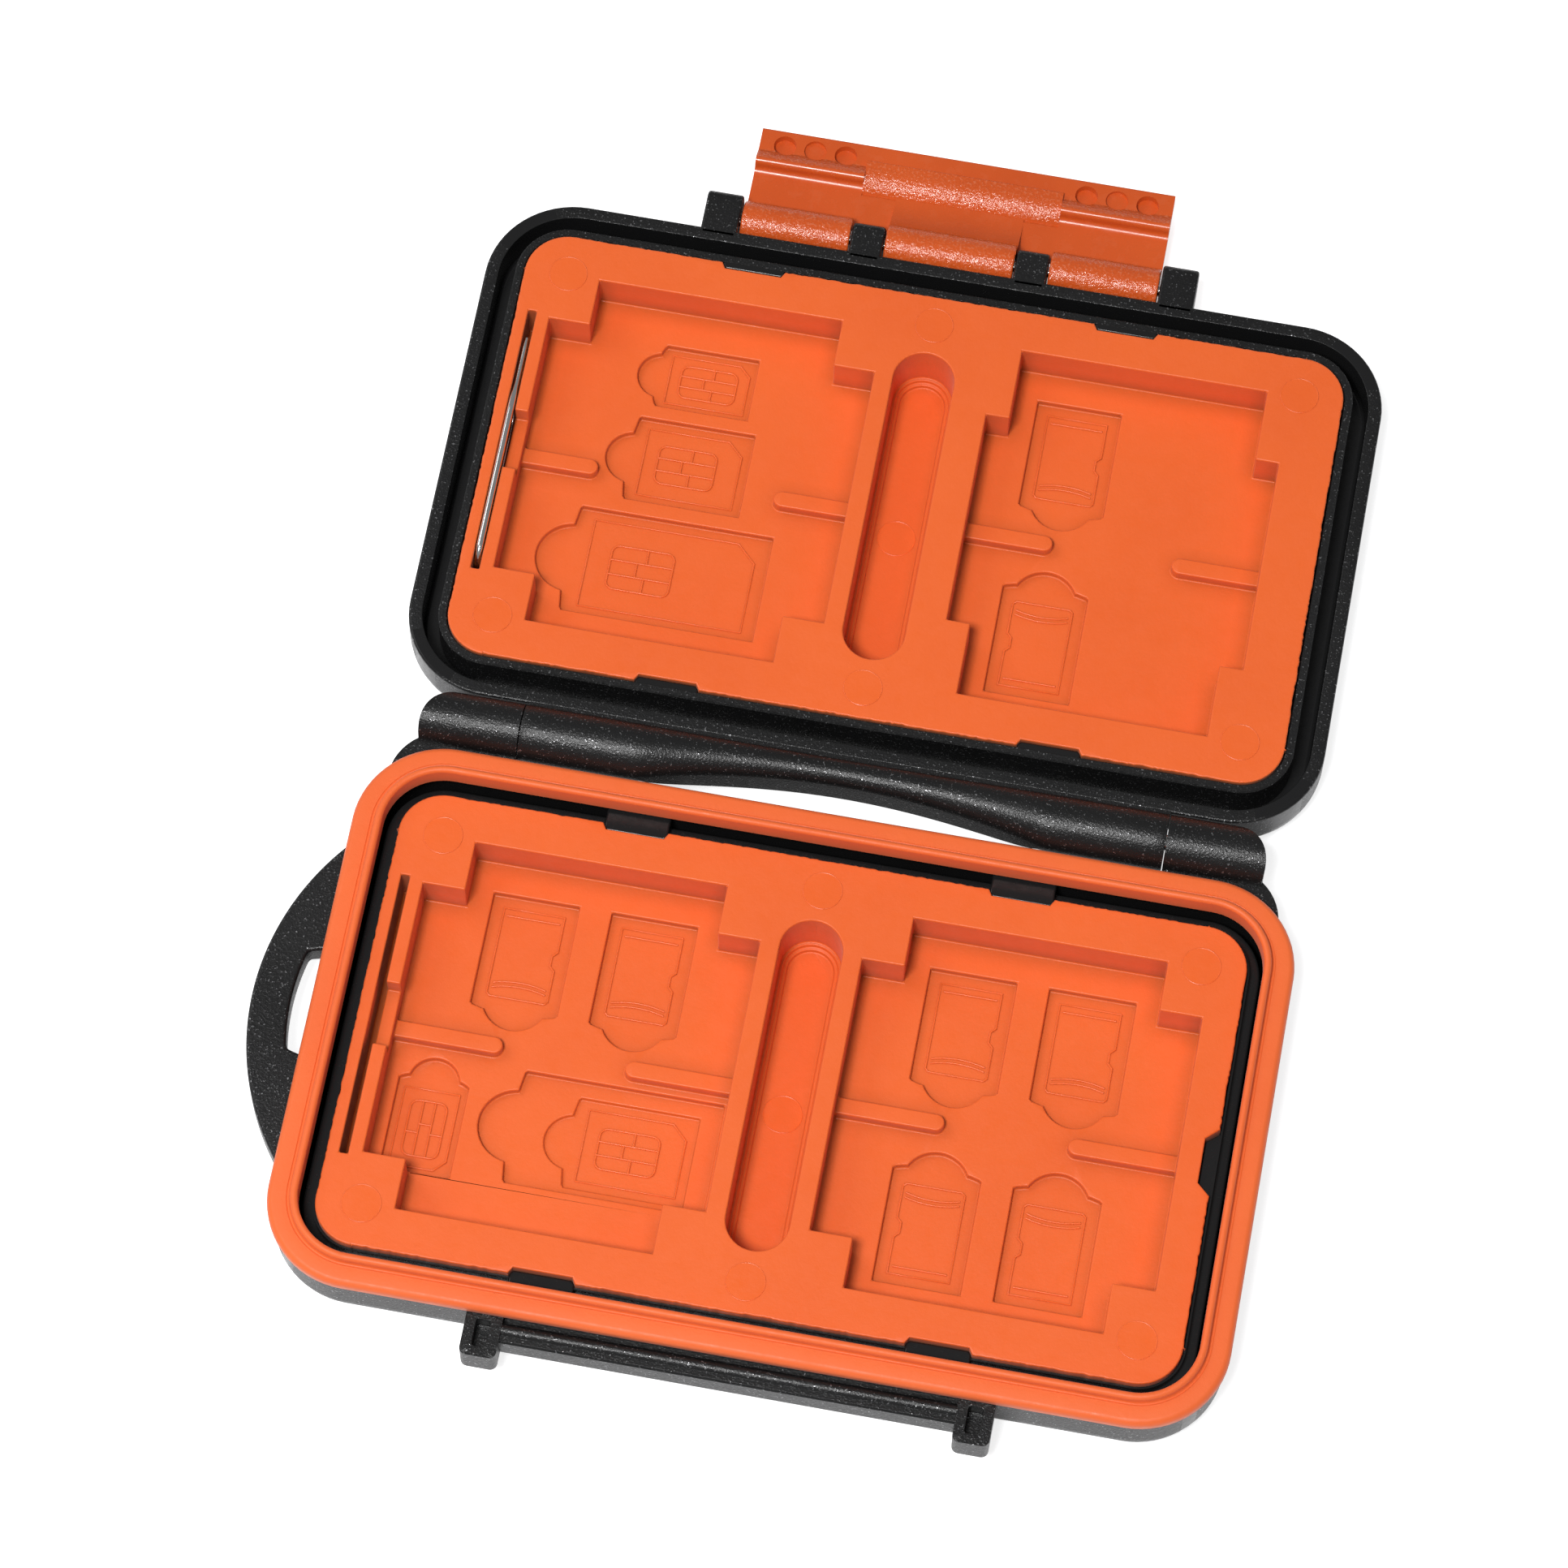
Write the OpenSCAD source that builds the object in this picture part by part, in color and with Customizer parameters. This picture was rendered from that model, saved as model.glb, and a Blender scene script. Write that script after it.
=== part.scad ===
// Pocket case for camera memory cards, lying open and flat on a table.
// Millimetres. X runs along the hinge, -Y is the front of the body half, +Z is up.
// The origin is the middle of the body's flat underside. The lid half lies beyond the
// hinge, at +Y, with its underside at the same level.

/* [Trays] */
// Wall from a pocket to the tray's end
end_wall = 4.6; // [4.4:0.1:8]
// Wall from a tall well to the tray's front or back edge
side_wall = 5.75; // [5.65:0.1:8]
// Wall between a tray's two pockets
middle_wall = 13; // [12:0.2:16]
// Corner radius of the card trays
tray_corner = 5.7; // [5:0.1:8]
// Height of the body tray's top above the underside
tray_top = 11; // [10.6:0.1:11.6]
// Height left between the two trays when the case is shut
tray_space = 0.9; // [0.6:0.1:1.5]
// Length of the notches that the shell's tabs hold
notch_l = 8; // [5:0.5:12]
// Depth of those notches in the tray's edge
notch_d = 0.9; // [0.6:0.1:1.2]
// Distance of those notches from the middle
notch_x = 24.7; // [20:0.1:28]
// Length of the finger notch in the body tray's right end
lift_notch_l = 8.9; // [6:0.1:14]
// Depth of that finger notch
lift_notch_d = 1.7; // [1:0.1:2.2]

/* [Card pockets] */
// Depth of the pockets
pocket_d = 5.6; // [5:0.1:6]
// Pocket length for a 43 mm wide card
wide_card_l = 43.1; // [42.4:0.1:46]
// Pocket width for that card
wide_card_w = 36.5; // [36:0.1:38]
// Pocket length for a 38 mm wide card
mid_card_l = 38.4; // [38:0.1:39.5]
// Pocket width for that card
mid_card_w = 29.8; // [29.5:0.1:31]
// Pocket length of the tall well for cards of 32 mm by 24 mm
tall_well_l = 32.3; // [32:0.1:33.5]
// Pocket width of that well
tall_well_w = 49.7; // [49.2:0.1:53]
// Width of the low ribs at the middle of each pocket
rib_w = 2.2; // [1.6:0.1:2.6]
// Height of those ribs over the pocket's floor
rib_h = 1.5; // [1:0.1:1.8]

/* [Small card nests] */
// Depth of the nests in the pocket's floor
nest_d = 0.9; // [0.6:0.1:1.2]
// Length of the nest for an 11 mm by 15 mm card
micro_card_l = 15.1; // [15:0.1:15.4]
// Width of that nest
micro_card_w = 11.1; // [11:0.1:11.4]
// Length of the nest for a full SIM card
mini_sim_l = 25.1; // [25:0.1:25.4]
// Width of that nest
mini_sim_w = 15; // [14.8:0.1:15.2]
// Length of the nest for a cut-down SIM card
micro_sim_l = 15.1; // [15:0.1:15.3]
// Width of that nest
micro_sim_w = 12; // [11.8:0.1:12.2]
// Length of the nest for the smallest SIM card
nano_sim_l = 12.2; // [12:0.1:12.5]
// Width of that nest
nano_sim_w = 8.9; // [8.7:0.1:9.2]
// How far a nest's round thumb notch reaches past the card
thumb_reach = 2.9; // [2:0.1:3.2]
// Radius of a nest's thumb notch
thumb_r = 4.2; // [3:0.1:4.5]

/* [Middle trough and pin slot] */
// Length of the finger trough between the pockets
trough_l = 44.4; // [30:0.2:48]
// Width of that trough
trough_w = 8; // [6:0.1:9]
// Depth of that trough
trough_d = 8; // [5:0.1:8.4]
// Length of the narrow slot for the steel pin
slot_l = 37.8; // [36.6:0.1:40]
// Width of that slot
slot_w = 1.1; // [1:0.05:1.3]
// Wall between that slot and the pocket
slot_wall = 1.8; // [1.2:0.1:1.9]
// Length of the finger dip in that wall
dip_l = 8.3; // [5:0.1:12]
// Depth of that dip
dip_d = 2.6; // [1:0.1:4]

/* [Shells] */
// Height of the body shell's rim, under the gasket
rim_z = 11; // [10.6:0.1:11.4]
// Thickness of the body shell's wall
shell_wall = 2.6; // [2.2:0.1:2.8]
// Thickness of the shells' floors
floor_t = 1.8; // [1.4:0.1:2.2]
// Radius of the round edge under both shells
base_round = 5.5; // [4:0.1:6]
// Radius of the round edge inside the body shell
cavity_round = 2.5; // [1:0.1:2.6]
// How far the lid's outline lies inside the body's
lid_inset = 0.2; // [0:0.05:0.5]
// Corner radius of the lid's outline
lid_corner = 11.6; // [11.4:0.1:12.5]
// Thickness of the low wall round the lid's tray
border_t = 1.1; // [0.8:0.1:1.3]
// Drop from the lid tray's top to that wall's top
border_drop = 0.3; // [0:0.1:1]
// Depth of the groove between that wall and the lid's rim
groove_d = 5.3; // [2:0.1:5.6]

/* [Gasket] */
// Gap from the tray's edge to the gasket
gasket_gap = 1.9; // [1.7:0.1:2.4]
// Width of the gasket band
gasket_w = 3.9; // [3.6:0.1:4.2]
// Thickness of the gasket band over the shell's rim
gasket_t = 1.9; // [1.5:0.1:2.2]
// How far the gasket stands proud of the shell's wall
gasket_proud = 0.45; // [0.2:0.05:0.6]
// Radius of the gasket's outer upper edge
gasket_round = 0.9; // [0.4:0.1:1.2]
// Width of the raised inner bead
bead_w = 1; // [0.7:0.1:1.2]
// Height of that bead over the band
bead_h = 1; // [0.5:0.1:1.2]
// Width of the tongue that sits in the shell's rim
tongue_w = 1; // [0.7:0.1:1.1]
// Depth of that tongue
tongue_d = 1.5; // [1:0.1:2]

/* [Hinge] */
// Height of the hinge axis above the underside
hinge_z = 11.4; // [11.4:0.1:11.8]
// Radius of the hinge barrel
hinge_r = 3.6; // [3.2:0.1:3.8]
// Distance from the body's back wall to the hinge axis
hinge_set = 4.65; // [4.5:0.05:5.2]
// Distance from the body's end to the seam between its end barrel and the lid's barrel
barrel_seam = 18.25; // [18:0.05:22]
// Length of each of the body's end barrels
end_barrel_l = 12.75; // [11:0.05:13]
// Radius that rounds an end barrel, seen from above
end_barrel_round = 6; // [4:0.1:8]
// Radius of the hinge pins
pin_r = 1; // [0.8:0.05:1.2]
// Length of a hinge pin inside the lid's barrel
pin_in = 11.3; // [8:0.1:14]
// Length of a hinge pin inside the body's barrel
pin_held = 8.6; // [6:0.1:9]
// Radius of the wide curve that hollows the lid's barrel
scallop_r = 98; // [92:1:120]

/* [Latch] */
// Length of the latch
latch_l = 55.6; // [50:0.2:60]
// Length of the latch plate from its axis to its tip
plate_l = 15; // [14.6:0.1:15.4]
// Thickness of the latch plate
plate_t = 2; // [1.6:0.1:2.1]
// Drop from the latch axis to the plate's inner face
plate_set = 0.9; // [0.8:0.05:1.1]
// Radius of the latch's knuckles
knuckle_r = 2.85; // [2.6:0.05:2.85]
// Length of the latch's middle knuckle
mid_knuckle_l = 16.9; // [12:0.1:22]
// Radius of the latch's pin
latch_pin_r = 0.75; // [0.6:0.05:0.8]
// Distance from the latch axis to the hook
hook_u = 9.05; // [8.8:0.05:9.3]
// Thickness of the hook, along the plate
hook_t = 1.55; // [1.2:0.05:1.8]
// Height of the hook over the plate
hook_h = 1.2; // [1:0.05:1.3]
// Length of the wedge at the middle of the latch
wedge_l = 26.4; // [20:0.2:30]
// Height of that wedge's edge over the plate
wedge_h = 0.6; // [0.3:0.1:0.9]
// Radius of the round dimples near the latch's tip
dimple_r = 1.5; // [1:0.1:1.6]
// Depth of those dimples
dimple_d = 1.2; // [0.6:0.1:1.4]

/* [Catch and ears] */
// Width of the catch's brackets and the lid's outer ears
ear_w = 3.9; // [3.4:0.1:4.5]
// Width of the lid's inner ears
inner_ear_w = 3.75; // [3:0.05:4.2]
// How far the inner ears reach past the latch axis
inner_ear_tip = 1.45; // [1.3:0.05:1.45]
// Height of the brackets
bracket_h = 4.5; // [4:0.1:5.5]
// Width of the blind slot in each bracket
bracket_slot_w = 1.7; // [1:0.1:2.2]
// Depth of that slot
bracket_slot_d = 2.5; // [1:0.1:3]
// Radius of the rounded lip along the catch bar
lip_r = 0.9; // [0.6:0.1:1]

/* [Strap lug] */
// How far the lug stands out from the body's wall
lug_out = 8.05; // [7:0.05:10]
// Radius of the lug's outer edge
lug_r = 34.3; // [30:0.1:40]
// Thickness of the lug
lug_t = 3.5; // [2.5:0.1:4]
// Width of the lug outside its strap slot
lug_rim = 5; // [4:0.1:5.5]
// Length of the strap slot
strap_l = 14.4; // [10:0.2:18]

/* [Steel pin] */
// Radius of the pin's wire
wire_r = 0.45; // [0.35:0.05:0.45]
// Radius of the pin's thin tip
tip_r = 0.35; // [0.25:0.05:0.35]
// Length of the pin's looped handle
loop_l = 24.3; // [20:0.1:25]
// Height of the looped handle, over the wire's middle line
loop_h = 5.4; // [4:0.1:5.6]
// Length of the thin tip
tip_l = 9.8; // [6:0.1:11]

/* [Hidden] */
$fn = 64;
scallop_fn = 360;
seal_gap = 0.05;
run_fit = 0.05;
press_fit = 0.02;
side_gap = 0.65;
notch_gap = 0.1;
hook_gap = 0.15;
bar_gap = 0.3;
bead_gap = 0.25;
knuckle_gap = 0.2;
barrel_gap = 0.15;
bracket_gap = 0.1;
slot_end_gap = 0.85;
over = 1;

black = [0.13, 0.13, 0.13];
orange = [1.0, 0.42, 0.2];
deep_orange = [0.88, 0.38, 0.17];
steel = [0.78, 0.78, 0.8];

// Trays
pocket_x = (middle_wall + wide_card_l) / 2;
tray_hl = pocket_x + wide_card_l / 2 + end_wall;
tray_hw = tall_well_w / 2 + side_wall;
lid_tray_top = 2 * hinge_z - tray_top - tray_space;
slot_x = pocket_x + wide_card_l / 2 + slot_wall + slot_w / 2;
slot_d = loop_h + wire_r + run_fit;
dip_y = 0.15;
lift_notch_y = -0.45;
lift_notch_ramp = 1.5;

// Nests, from the middle of their pocket
card_column = 7.6;
upper_row = 13.3;
lower_row = 13.8;
nano_column = 15.45;
nano_row = 11.8;
mini_column = 8.35;
mini_row = 9.6;
inner_sim_column = 10.6;
inner_sim_row = 10.1;
sim_rows = [15.45, 3.05, -12.55];
inner_nest_d = 0.5;
nano_thumb_r = 3.2;
micro_thumb_r = 3.6;
mini_thumb_r = 4.8;
rib_gap = 7.8;
sim_rib_gap = 11.6;

// Gasket, body shell and lid shell
gasket_top = rim_z + gasket_t;
bead_top = gasket_top + bead_h;
gasket_out = gasket_gap + gasket_w;
shell_out = gasket_out - gasket_proud;
shell_hl = tray_hl + shell_out;
shell_hw = tray_hw + shell_out;
shell_corner = tray_corner + shell_out;
cavity_out = shell_out - shell_wall;
tongue_set = (shell_wall - tongue_w) / 2;
tab_drop = 0.4;
tab_top = tray_top - tab_drop;
half_reach = shell_hw + hinge_set;
lid_hl = shell_hl - lid_inset;
lid_hw = shell_hw - lid_inset;
lid_rim_z = 2 * hinge_z - gasket_top - seal_gap;
lid_rim_in = gasket_gap + bead_w + bead_gap;
border_in = 0.1;
border_out = border_in + border_t;
border_top = lid_tray_top - border_drop;
groove_floor = lid_rim_z - groove_d;

// Hinge
lid_barrel_hl = shell_hl - barrel_seam;
barrel_in = lid_barrel_hl + barrel_gap;
barrel_out = barrel_in + end_barrel_l;
web_z = hinge_z - hinge_r;
shoulder_r = 7;
shoulder_in = 4.2;
shoulder_back = 8.5;
scallop_skim = 0.1;
plan_skim = 0.1;

// Latch, catch and ears
latch_hl = latch_l / 2;
latch_y = lid_hw + knuckle_gap + knuckle_r;
latch_z = lid_rim_z - knuckle_r;
latch_shut_z = 2 * hinge_z - latch_z;
plate_out = plate_set + plate_t;
plate_edge = 0.6;
plate_lip = 0.3;
channel_d = 0.5;
channel_ramp = 1.2;
channel_in = 1;
hook_foot = 0.4;
window_u = 2;
wedge_hl = wedge_l / 2;
wedge_lap = 1;
wedge_set = 2.7;
wedge_u0 = hook_u - wedge_lap;
wedge_u1 = plate_l - wedge_set;
dimple_set = 2.3;
dimple_in = 3;
dimple_u = plate_l - dimple_set;
dimple_x = wedge_hl + dimple_in;
dimple_pitch = 4.1;
ear_x0 = latch_hl + side_gap;
ear_x1 = ear_x0 + ear_w;
ear_set = 0.15;
inner_ear_x0 = mid_knuckle_l / 2 + side_gap;
inner_ear_x1 = inner_ear_x0 + inner_ear_w;
end_knuckle_x0 = inner_ear_x1 + side_gap;
pin_recess = 0.4;
bracket_y = latch_y + plate_out + bracket_gap;
bracket_front_t = 1.3;
bar_y = latch_y + plate_set - bar_gap;
bar_z0 = latch_shut_z - hook_u + hook_gap;
bar_drop = 0.5;
bar_z1 = rim_z - bar_drop;
lip_set = 1.1;
lip_y = latch_y - lip_set;
bar_recess_d = 1.2;

// Strap lug
lug_x = shell_hl + lug_out - lug_r;

// Steel pin
loop_r = loop_h / 2;
loop_y0 = slot_end_gap + wire_r + loop_r - slot_l / 2;
loop_y1 = loop_y0 + loop_l - loop_h;
loop_z = lid_tray_top - loop_r;
tip_drop = 0.6;
tip_gap = 1.2;
tip_z = lid_tray_top - tip_drop;
tip_y0 = loop_y1 + tip_gap;

// A rectangle with round corners, grown outwards from the tray's outline
module outline(grow, corner = 0) {
    r = corner > 0 ? corner : tray_corner + grow;
    straight_l = tray_hl + grow - r;
    straight_w = tray_hw + grow - r;
    square([2 * (tray_hl + grow), 2 * straight_w], center = true);
    square([2 * straight_l, 2 * (tray_hw + grow)], center = true);
    for (sx = [-1, 1], sy = [-1, 1])
        translate([sx * straight_l, sy * straight_w])
            circle(r = r);
}

module slab(grow, z0, z1) {
    translate([0, 0, z0])
        linear_extrude(z1 - z0)
            outline(grow);
}

module ring(inner, outer, z0, z1) {
    translate([0, 0, z0])
        linear_extrude(z1 - z0)
            difference() {
                outline(outer);
                outline(inner);
            }
}

// Half of a shell's section: an upright wall that turns into the floor by a round edge
module wall_section(reach, round_r, h) {
    translate([0, round_r])
        square([reach, h - round_r]);
    square([reach - round_r, h]);
    translate([reach - round_r, round_r])
        circle(r = round_r);
}

module full_section(reach, round_r, h) {
    wall_section(reach, round_r, h);
    mirror([1, 0])
        wall_section(reach, round_r, h);
}

// A block with round corners and a round lower edge
module bowl(half_l, half_w, corner, round_r, h) {
    straight_l = half_l - corner;
    straight_w = half_w - corner;
    rotate([90, 0, 90])
        linear_extrude(2 * straight_l, center = true)
            full_section(half_w, round_r, h);
    rotate([90, 0, 0])
        linear_extrude(2 * straight_w, center = true)
            full_section(half_l, round_r, h);
    for (quarter = [0:3]) {
        sx = quarter == 0 || quarter == 3 ? 1 : -1;
        sy = quarter < 2 ? 1 : -1;
        translate([sx * straight_l, sy * straight_w, 0])
            rotate([0, 0, 90 * quarter])
                rotate_extrude(angle = 90)
                    wall_section(corner, round_r, h);
    }
}

// A round bar along X
module rod(x0, x1, r) {
    translate([x0, 0, 0])
        rotate([0, 90, 0])
            cylinder(h = x1 - x0, r = r);
}

// A flat shape drawn in Y and Z, carried along X
module along_x(x0, x1) {
    translate([x0, 0, 0])
        rotate([90, 0, 90])
            linear_extrude(x1 - x0)
                children();
}

module both_sides() {
    for (side = [0, 1])
        mirror([side, 0, 0])
            children();
}

module in_lid() {
    translate([0, 2 * half_reach, 0])
        children();
}

module at_hinge() {
    translate([0, half_reach, hinge_z])
        children();
}

// Tray details

module pocket(l, w, top) {
    translate([0, 0, top - pocket_d])
        linear_extrude(pocket_d + over) {
            square([l, w], center = true);
            square([tall_well_l, tall_well_w], center = true);
        }
}

module pocket_ribs(l, gap, top) {
    translate([0, 0, top - pocket_d - over])
        linear_extrude(rib_h + over)
            for (side = [0, 1])
                mirror([side, 0]) {
                    translate([gap + rib_w / 2, -rib_w / 2])
                        square([l / 2 - gap - rib_w / 2 + over / 2, rib_w]);
                    translate([gap + rib_w / 2, 0])
                        circle(r = rib_w / 2);
                }
}

// A nest with its round thumb notch on the side that face_angle points to
module nest(x, y, l, w, face_angle, r, reach, top, deeper = 0) {
    translate([x, y, top - pocket_d - nest_d - deeper])
        linear_extrude(nest_d + deeper + over)
            rotate(face_angle) {
                square([l, w], center = true);
                translate([l / 2 + reach - r, 0])
                    circle(r = r);
            }
}

module micro_card_nest(x, y, face_angle, top) {
    nest(x, y, micro_card_l, micro_card_w, face_angle, thumb_r, thumb_reach, top);
}

module nano_sim_nest(x, y, face_angle, top) {
    nest(x, y, nano_sim_l, nano_sim_w, face_angle, nano_thumb_r, nano_thumb_r, top);
}

module micro_sim_nest(x, y, face_angle, top, deeper = 0) {
    nest(x, y, micro_sim_l, micro_sim_w, face_angle, micro_thumb_r, micro_thumb_r, top, deeper);
}

module mini_sim_nest(x, y, face_angle, top) {
    nest(x, y, mini_sim_l, mini_sim_w, face_angle, mini_thumb_r, mini_thumb_r, top);
}

module tray_edge_notches(top) {
    for (sx = [-1, 1], sy = [-1, 1])
        translate([sx * notch_x - notch_l / 2, sy * (tray_hw - notch_d / 2) - notch_d / 2, floor_t - over])
            translate([0, sy > 0 ? 0 : -over, 0])
                cube([notch_l, notch_d + over, top - floor_t + 2 * over]);
}

module lift_notch(top) {
    translate([tray_hl, lift_notch_y, floor_t - over])
        linear_extrude(top - floor_t + 2 * over)
            polygon([
                [over, -lift_notch_l / 2 - over],
                [0, -lift_notch_l / 2],
                [-lift_notch_d, lift_notch_ramp - lift_notch_l / 2],
                [-lift_notch_d, lift_notch_l / 2 - lift_notch_ramp],
                [0, lift_notch_l / 2],
                [over, lift_notch_l / 2 + over]
            ]);
}

module trough(top) {
    end_y = (trough_l - trough_w) / 2;
    translate([0, 0, top - trough_d])
        linear_extrude(trough_d + over) {
            square([trough_w, 2 * end_y], center = true);
            for (side = [-1, 1])
                translate([0, side * end_y])
                    circle(d = trough_w);
        }
}

module pin_slot(top) {
    translate([-slot_x - slot_w / 2, -slot_l / 2, top - slot_d])
        cube([slot_w, slot_l, slot_d + over]);
    translate([-slot_x, dip_y - dip_l / 2, top - dip_d])
        cube([slot_w / 2 + slot_wall + over, dip_l, dip_d + over]);
}

module tray_blank(top) {
    difference() {
        slab(0, floor_t, top);
        tray_edge_notches(top);
        trough(top);
        pin_slot(top);
    }
}

// Sub-parts of the body half

module end_barrel_plan() {
    end_x = barrel_out - end_barrel_round;
    edge_y = half_reach + hinge_r + plan_skim;
    translate([barrel_in, edge_y - 2 * end_barrel_round])
        square([end_x - barrel_in, 2 * end_barrel_round]);
    translate([end_x, edge_y - end_barrel_round])
        circle(r = end_barrel_round);
}

module shoulder_plan() {
    intersection() {
        union() {
            end_barrel_plan();
            translate([barrel_in, shell_hw - over])
                square([end_barrel_l - end_barrel_round, hinge_set + over]);
            translate([barrel_out - shoulder_in, half_reach - shoulder_back])
                circle(r = shoulder_r);
        }
        translate([barrel_in, shell_hw - 3 * shoulder_r])
            square([3 * shoulder_r, 3 * shoulder_r + hinge_set]);
    }
}

module end_barrel() {
    intersection() {
        at_hinge()
            rod(barrel_in, barrel_out, hinge_r);
        linear_extrude(hinge_z + hinge_r + over)
            end_barrel_plan();
    }
    translate([0, 0, web_z])
        linear_extrude(rim_z - web_z)
            shoulder_plan();
}

module bracket() {
    translate([ear_x0, -bracket_y, rim_z - bracket_h])
        cube([ear_w, bracket_y - shell_hw + over, bracket_h]);
}

module bracket_slot() {
    translate([ear_x0 + (ear_w - bracket_slot_w) / 2, bracket_front_t - bracket_y, rim_z - bracket_slot_d])
        cube([bracket_slot_w, bracket_y - bracket_front_t - shell_hw - over, bracket_slot_d + over]);
}

module catch_bar() {
    difference() {
        translate([-ear_x0 - over / 2, -bar_y, bar_z0])
            cube([2 * ear_x0 + over, bar_y - shell_hw + over, bar_z1 - bar_z0]);
        translate([-ear_x0, -lip_y, bar_z1 - bar_recess_d])
            cube([2 * ear_x0, lip_y - shell_hw, bar_recess_d + over]);
    }
    translate([0, -lip_y, rim_z - lip_r])
        rod(-ear_x0 - over / 2, ear_x0 + over / 2, lip_r);
}

module strap_lug() {
    translate([0, 0, rim_z - lug_t])
        linear_extrude(lug_t)
            difference() {
                intersection() {
                    translate([-lug_x, 0])
                        circle(r = lug_r, $fn = scallop_fn);
                    translate([-shell_hl - lug_out - over, -lug_r])
                        square([lug_out + 2 * over, 2 * lug_r]);
                }
                intersection() {
                    translate([-lug_x, 0])
                        circle(r = lug_r - lug_rim, $fn = scallop_fn);
                    translate([-shell_hl - lug_out, -strap_l / 2])
                        square([lug_out, strap_l]);
                }
            }
}

module tray_tabs(outer, top) {
    tab_in = tray_hw - notch_d + notch_gap;
    for (sx = [-1, 1], sy = [0, 1])
        mirror([0, sy, 0])
            translate([sx * notch_x - notch_l / 2 + notch_gap, tab_in, floor_t - over / 2])
                cube([notch_l - 2 * notch_gap, tray_hw + outer - tab_in, top - floor_t + over / 2]);
}

module body_shell() {
    color(black) {
        difference() {
            union() {
                bowl(shell_hl, shell_hw, shell_corner, base_round, rim_z);
                catch_bar();
                strap_lug();
                both_sides() {
                    end_barrel();
                    bracket();
                }
            }
            translate([0, 0, floor_t])
                bowl(
                    tray_hl + cavity_out, tray_hw + cavity_out, tray_corner + cavity_out,
                    cavity_round, rim_z - floor_t + over
                );
            ring(
                shell_out - tongue_set - tongue_w - run_fit, shell_out - tongue_set + run_fit,
                rim_z - tongue_d - 2 * run_fit, rim_z + over
            );
            both_sides() {
                bracket_slot();
                at_hinge()
                    rod(barrel_in - over, barrel_in + pin_held + run_fit, pin_r + press_fit);
            }
        }
        tray_tabs(cavity_out + over / 2, tab_top);
    }
}

module gasket() {
    color(orange) {
        difference() {
            translate([0, 0, gasket_top])
                mirror([0, 0, 1])
                    bowl(
                        tray_hl + gasket_out, tray_hw + gasket_out, tray_corner + gasket_out,
                        gasket_round, gasket_t
                    );
            slab(gasket_gap, rim_z - over, gasket_top + over);
        }
        ring(gasket_gap, gasket_gap + bead_w, gasket_top - over, bead_top);
        ring(
            shell_out - tongue_set - tongue_w, shell_out - tongue_set,
            rim_z - tongue_d, rim_z + over
        );
    }
}

module body_tray() {
    color(orange) {
        difference() {
            tray_blank(tray_top);
            lift_notch(tray_top);
            translate([-pocket_x, 0, 0]) {
                pocket(wide_card_l, wide_card_w, tray_top);
                for (column = [-card_column, card_column])
                    micro_card_nest(column, upper_row, -90, tray_top);
                nano_sim_nest(-nano_column, -nano_row, 90, tray_top);
                mini_sim_nest(mini_column, -mini_row, 180, tray_top);
                micro_sim_nest(inner_sim_column, -inner_sim_row, 180, tray_top, inner_nest_d);
            }
            translate([pocket_x, 0, 0]) {
                pocket(wide_card_l, wide_card_w, tray_top);
                for (column = [-card_column, card_column]) {
                    micro_card_nest(column, upper_row, -90, tray_top);
                    micro_card_nest(column, -lower_row, 90, tray_top);
                }
            }
        }
        for (x = [-pocket_x, pocket_x])
            translate([x, 0, 0])
                pocket_ribs(wide_card_l, rib_gap, tray_top);
    }
}

module hinge_pin() {
    at_hinge()
        rod(lid_barrel_hl - pin_in, barrel_in + pin_held, pin_r);
}

module hinge_pin_left() {
    color(steel)
        mirror([1, 0, 0])
            hinge_pin();
}

module hinge_pin_right() {
    color(steel)
        hinge_pin();
}

// Sub-parts of the lid half

module lid_barrel() {
    difference() {
        union() {
            at_hinge()
                rod(-lid_barrel_hl, lid_barrel_hl, hinge_r);
            translate([-lid_barrel_hl, half_reach, web_z])
                cube([2 * lid_barrel_hl, hinge_set + lid_inset + over, lid_rim_z - web_z]);
        }
        translate([0, half_reach - scallop_r - scallop_skim, 0])
            cylinder(h = hinge_z + hinge_r + over, r = scallop_r, $fn = scallop_fn);
        both_sides()
            at_hinge()
                rod(lid_barrel_hl - pin_in - run_fit, lid_barrel_hl + over, pin_r + run_fit);
    }
}

module ear(x0, x1, tip) {
    end_y = latch_y + tip - knuckle_r;
    translate([0, end_y, latch_z])
        rod(x0, x1, knuckle_r);
    translate([x0, lid_hw - over, latch_z - knuckle_r])
        cube([x1 - x0, end_y - lid_hw + over, 2 * knuckle_r]);
}

module lid_shell() {
    color(black) {
        in_lid()
            difference() {
                union() {
                    bowl(lid_hl, lid_hw, lid_corner, base_round, lid_rim_z);
                    slab(border_out, floor_t, border_top);
                    both_sides() {
                        ear(ear_x0, ear_x1, knuckle_r - ear_set);
                        ear(inner_ear_x0, inner_ear_x1, inner_ear_tip);
                    }
                }
                slab(border_in, floor_t, border_top + over);
                ring(border_out, lid_rim_in, groove_floor, border_top + over);
                translate([0, latch_y, latch_z])
                    rod(-ear_x1 - over, ear_x1 + over, latch_pin_r + press_fit);
            }
        in_lid()
            tray_tabs(border_out - border_t / 2, border_top);
        lid_barrel();
    }
}

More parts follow.
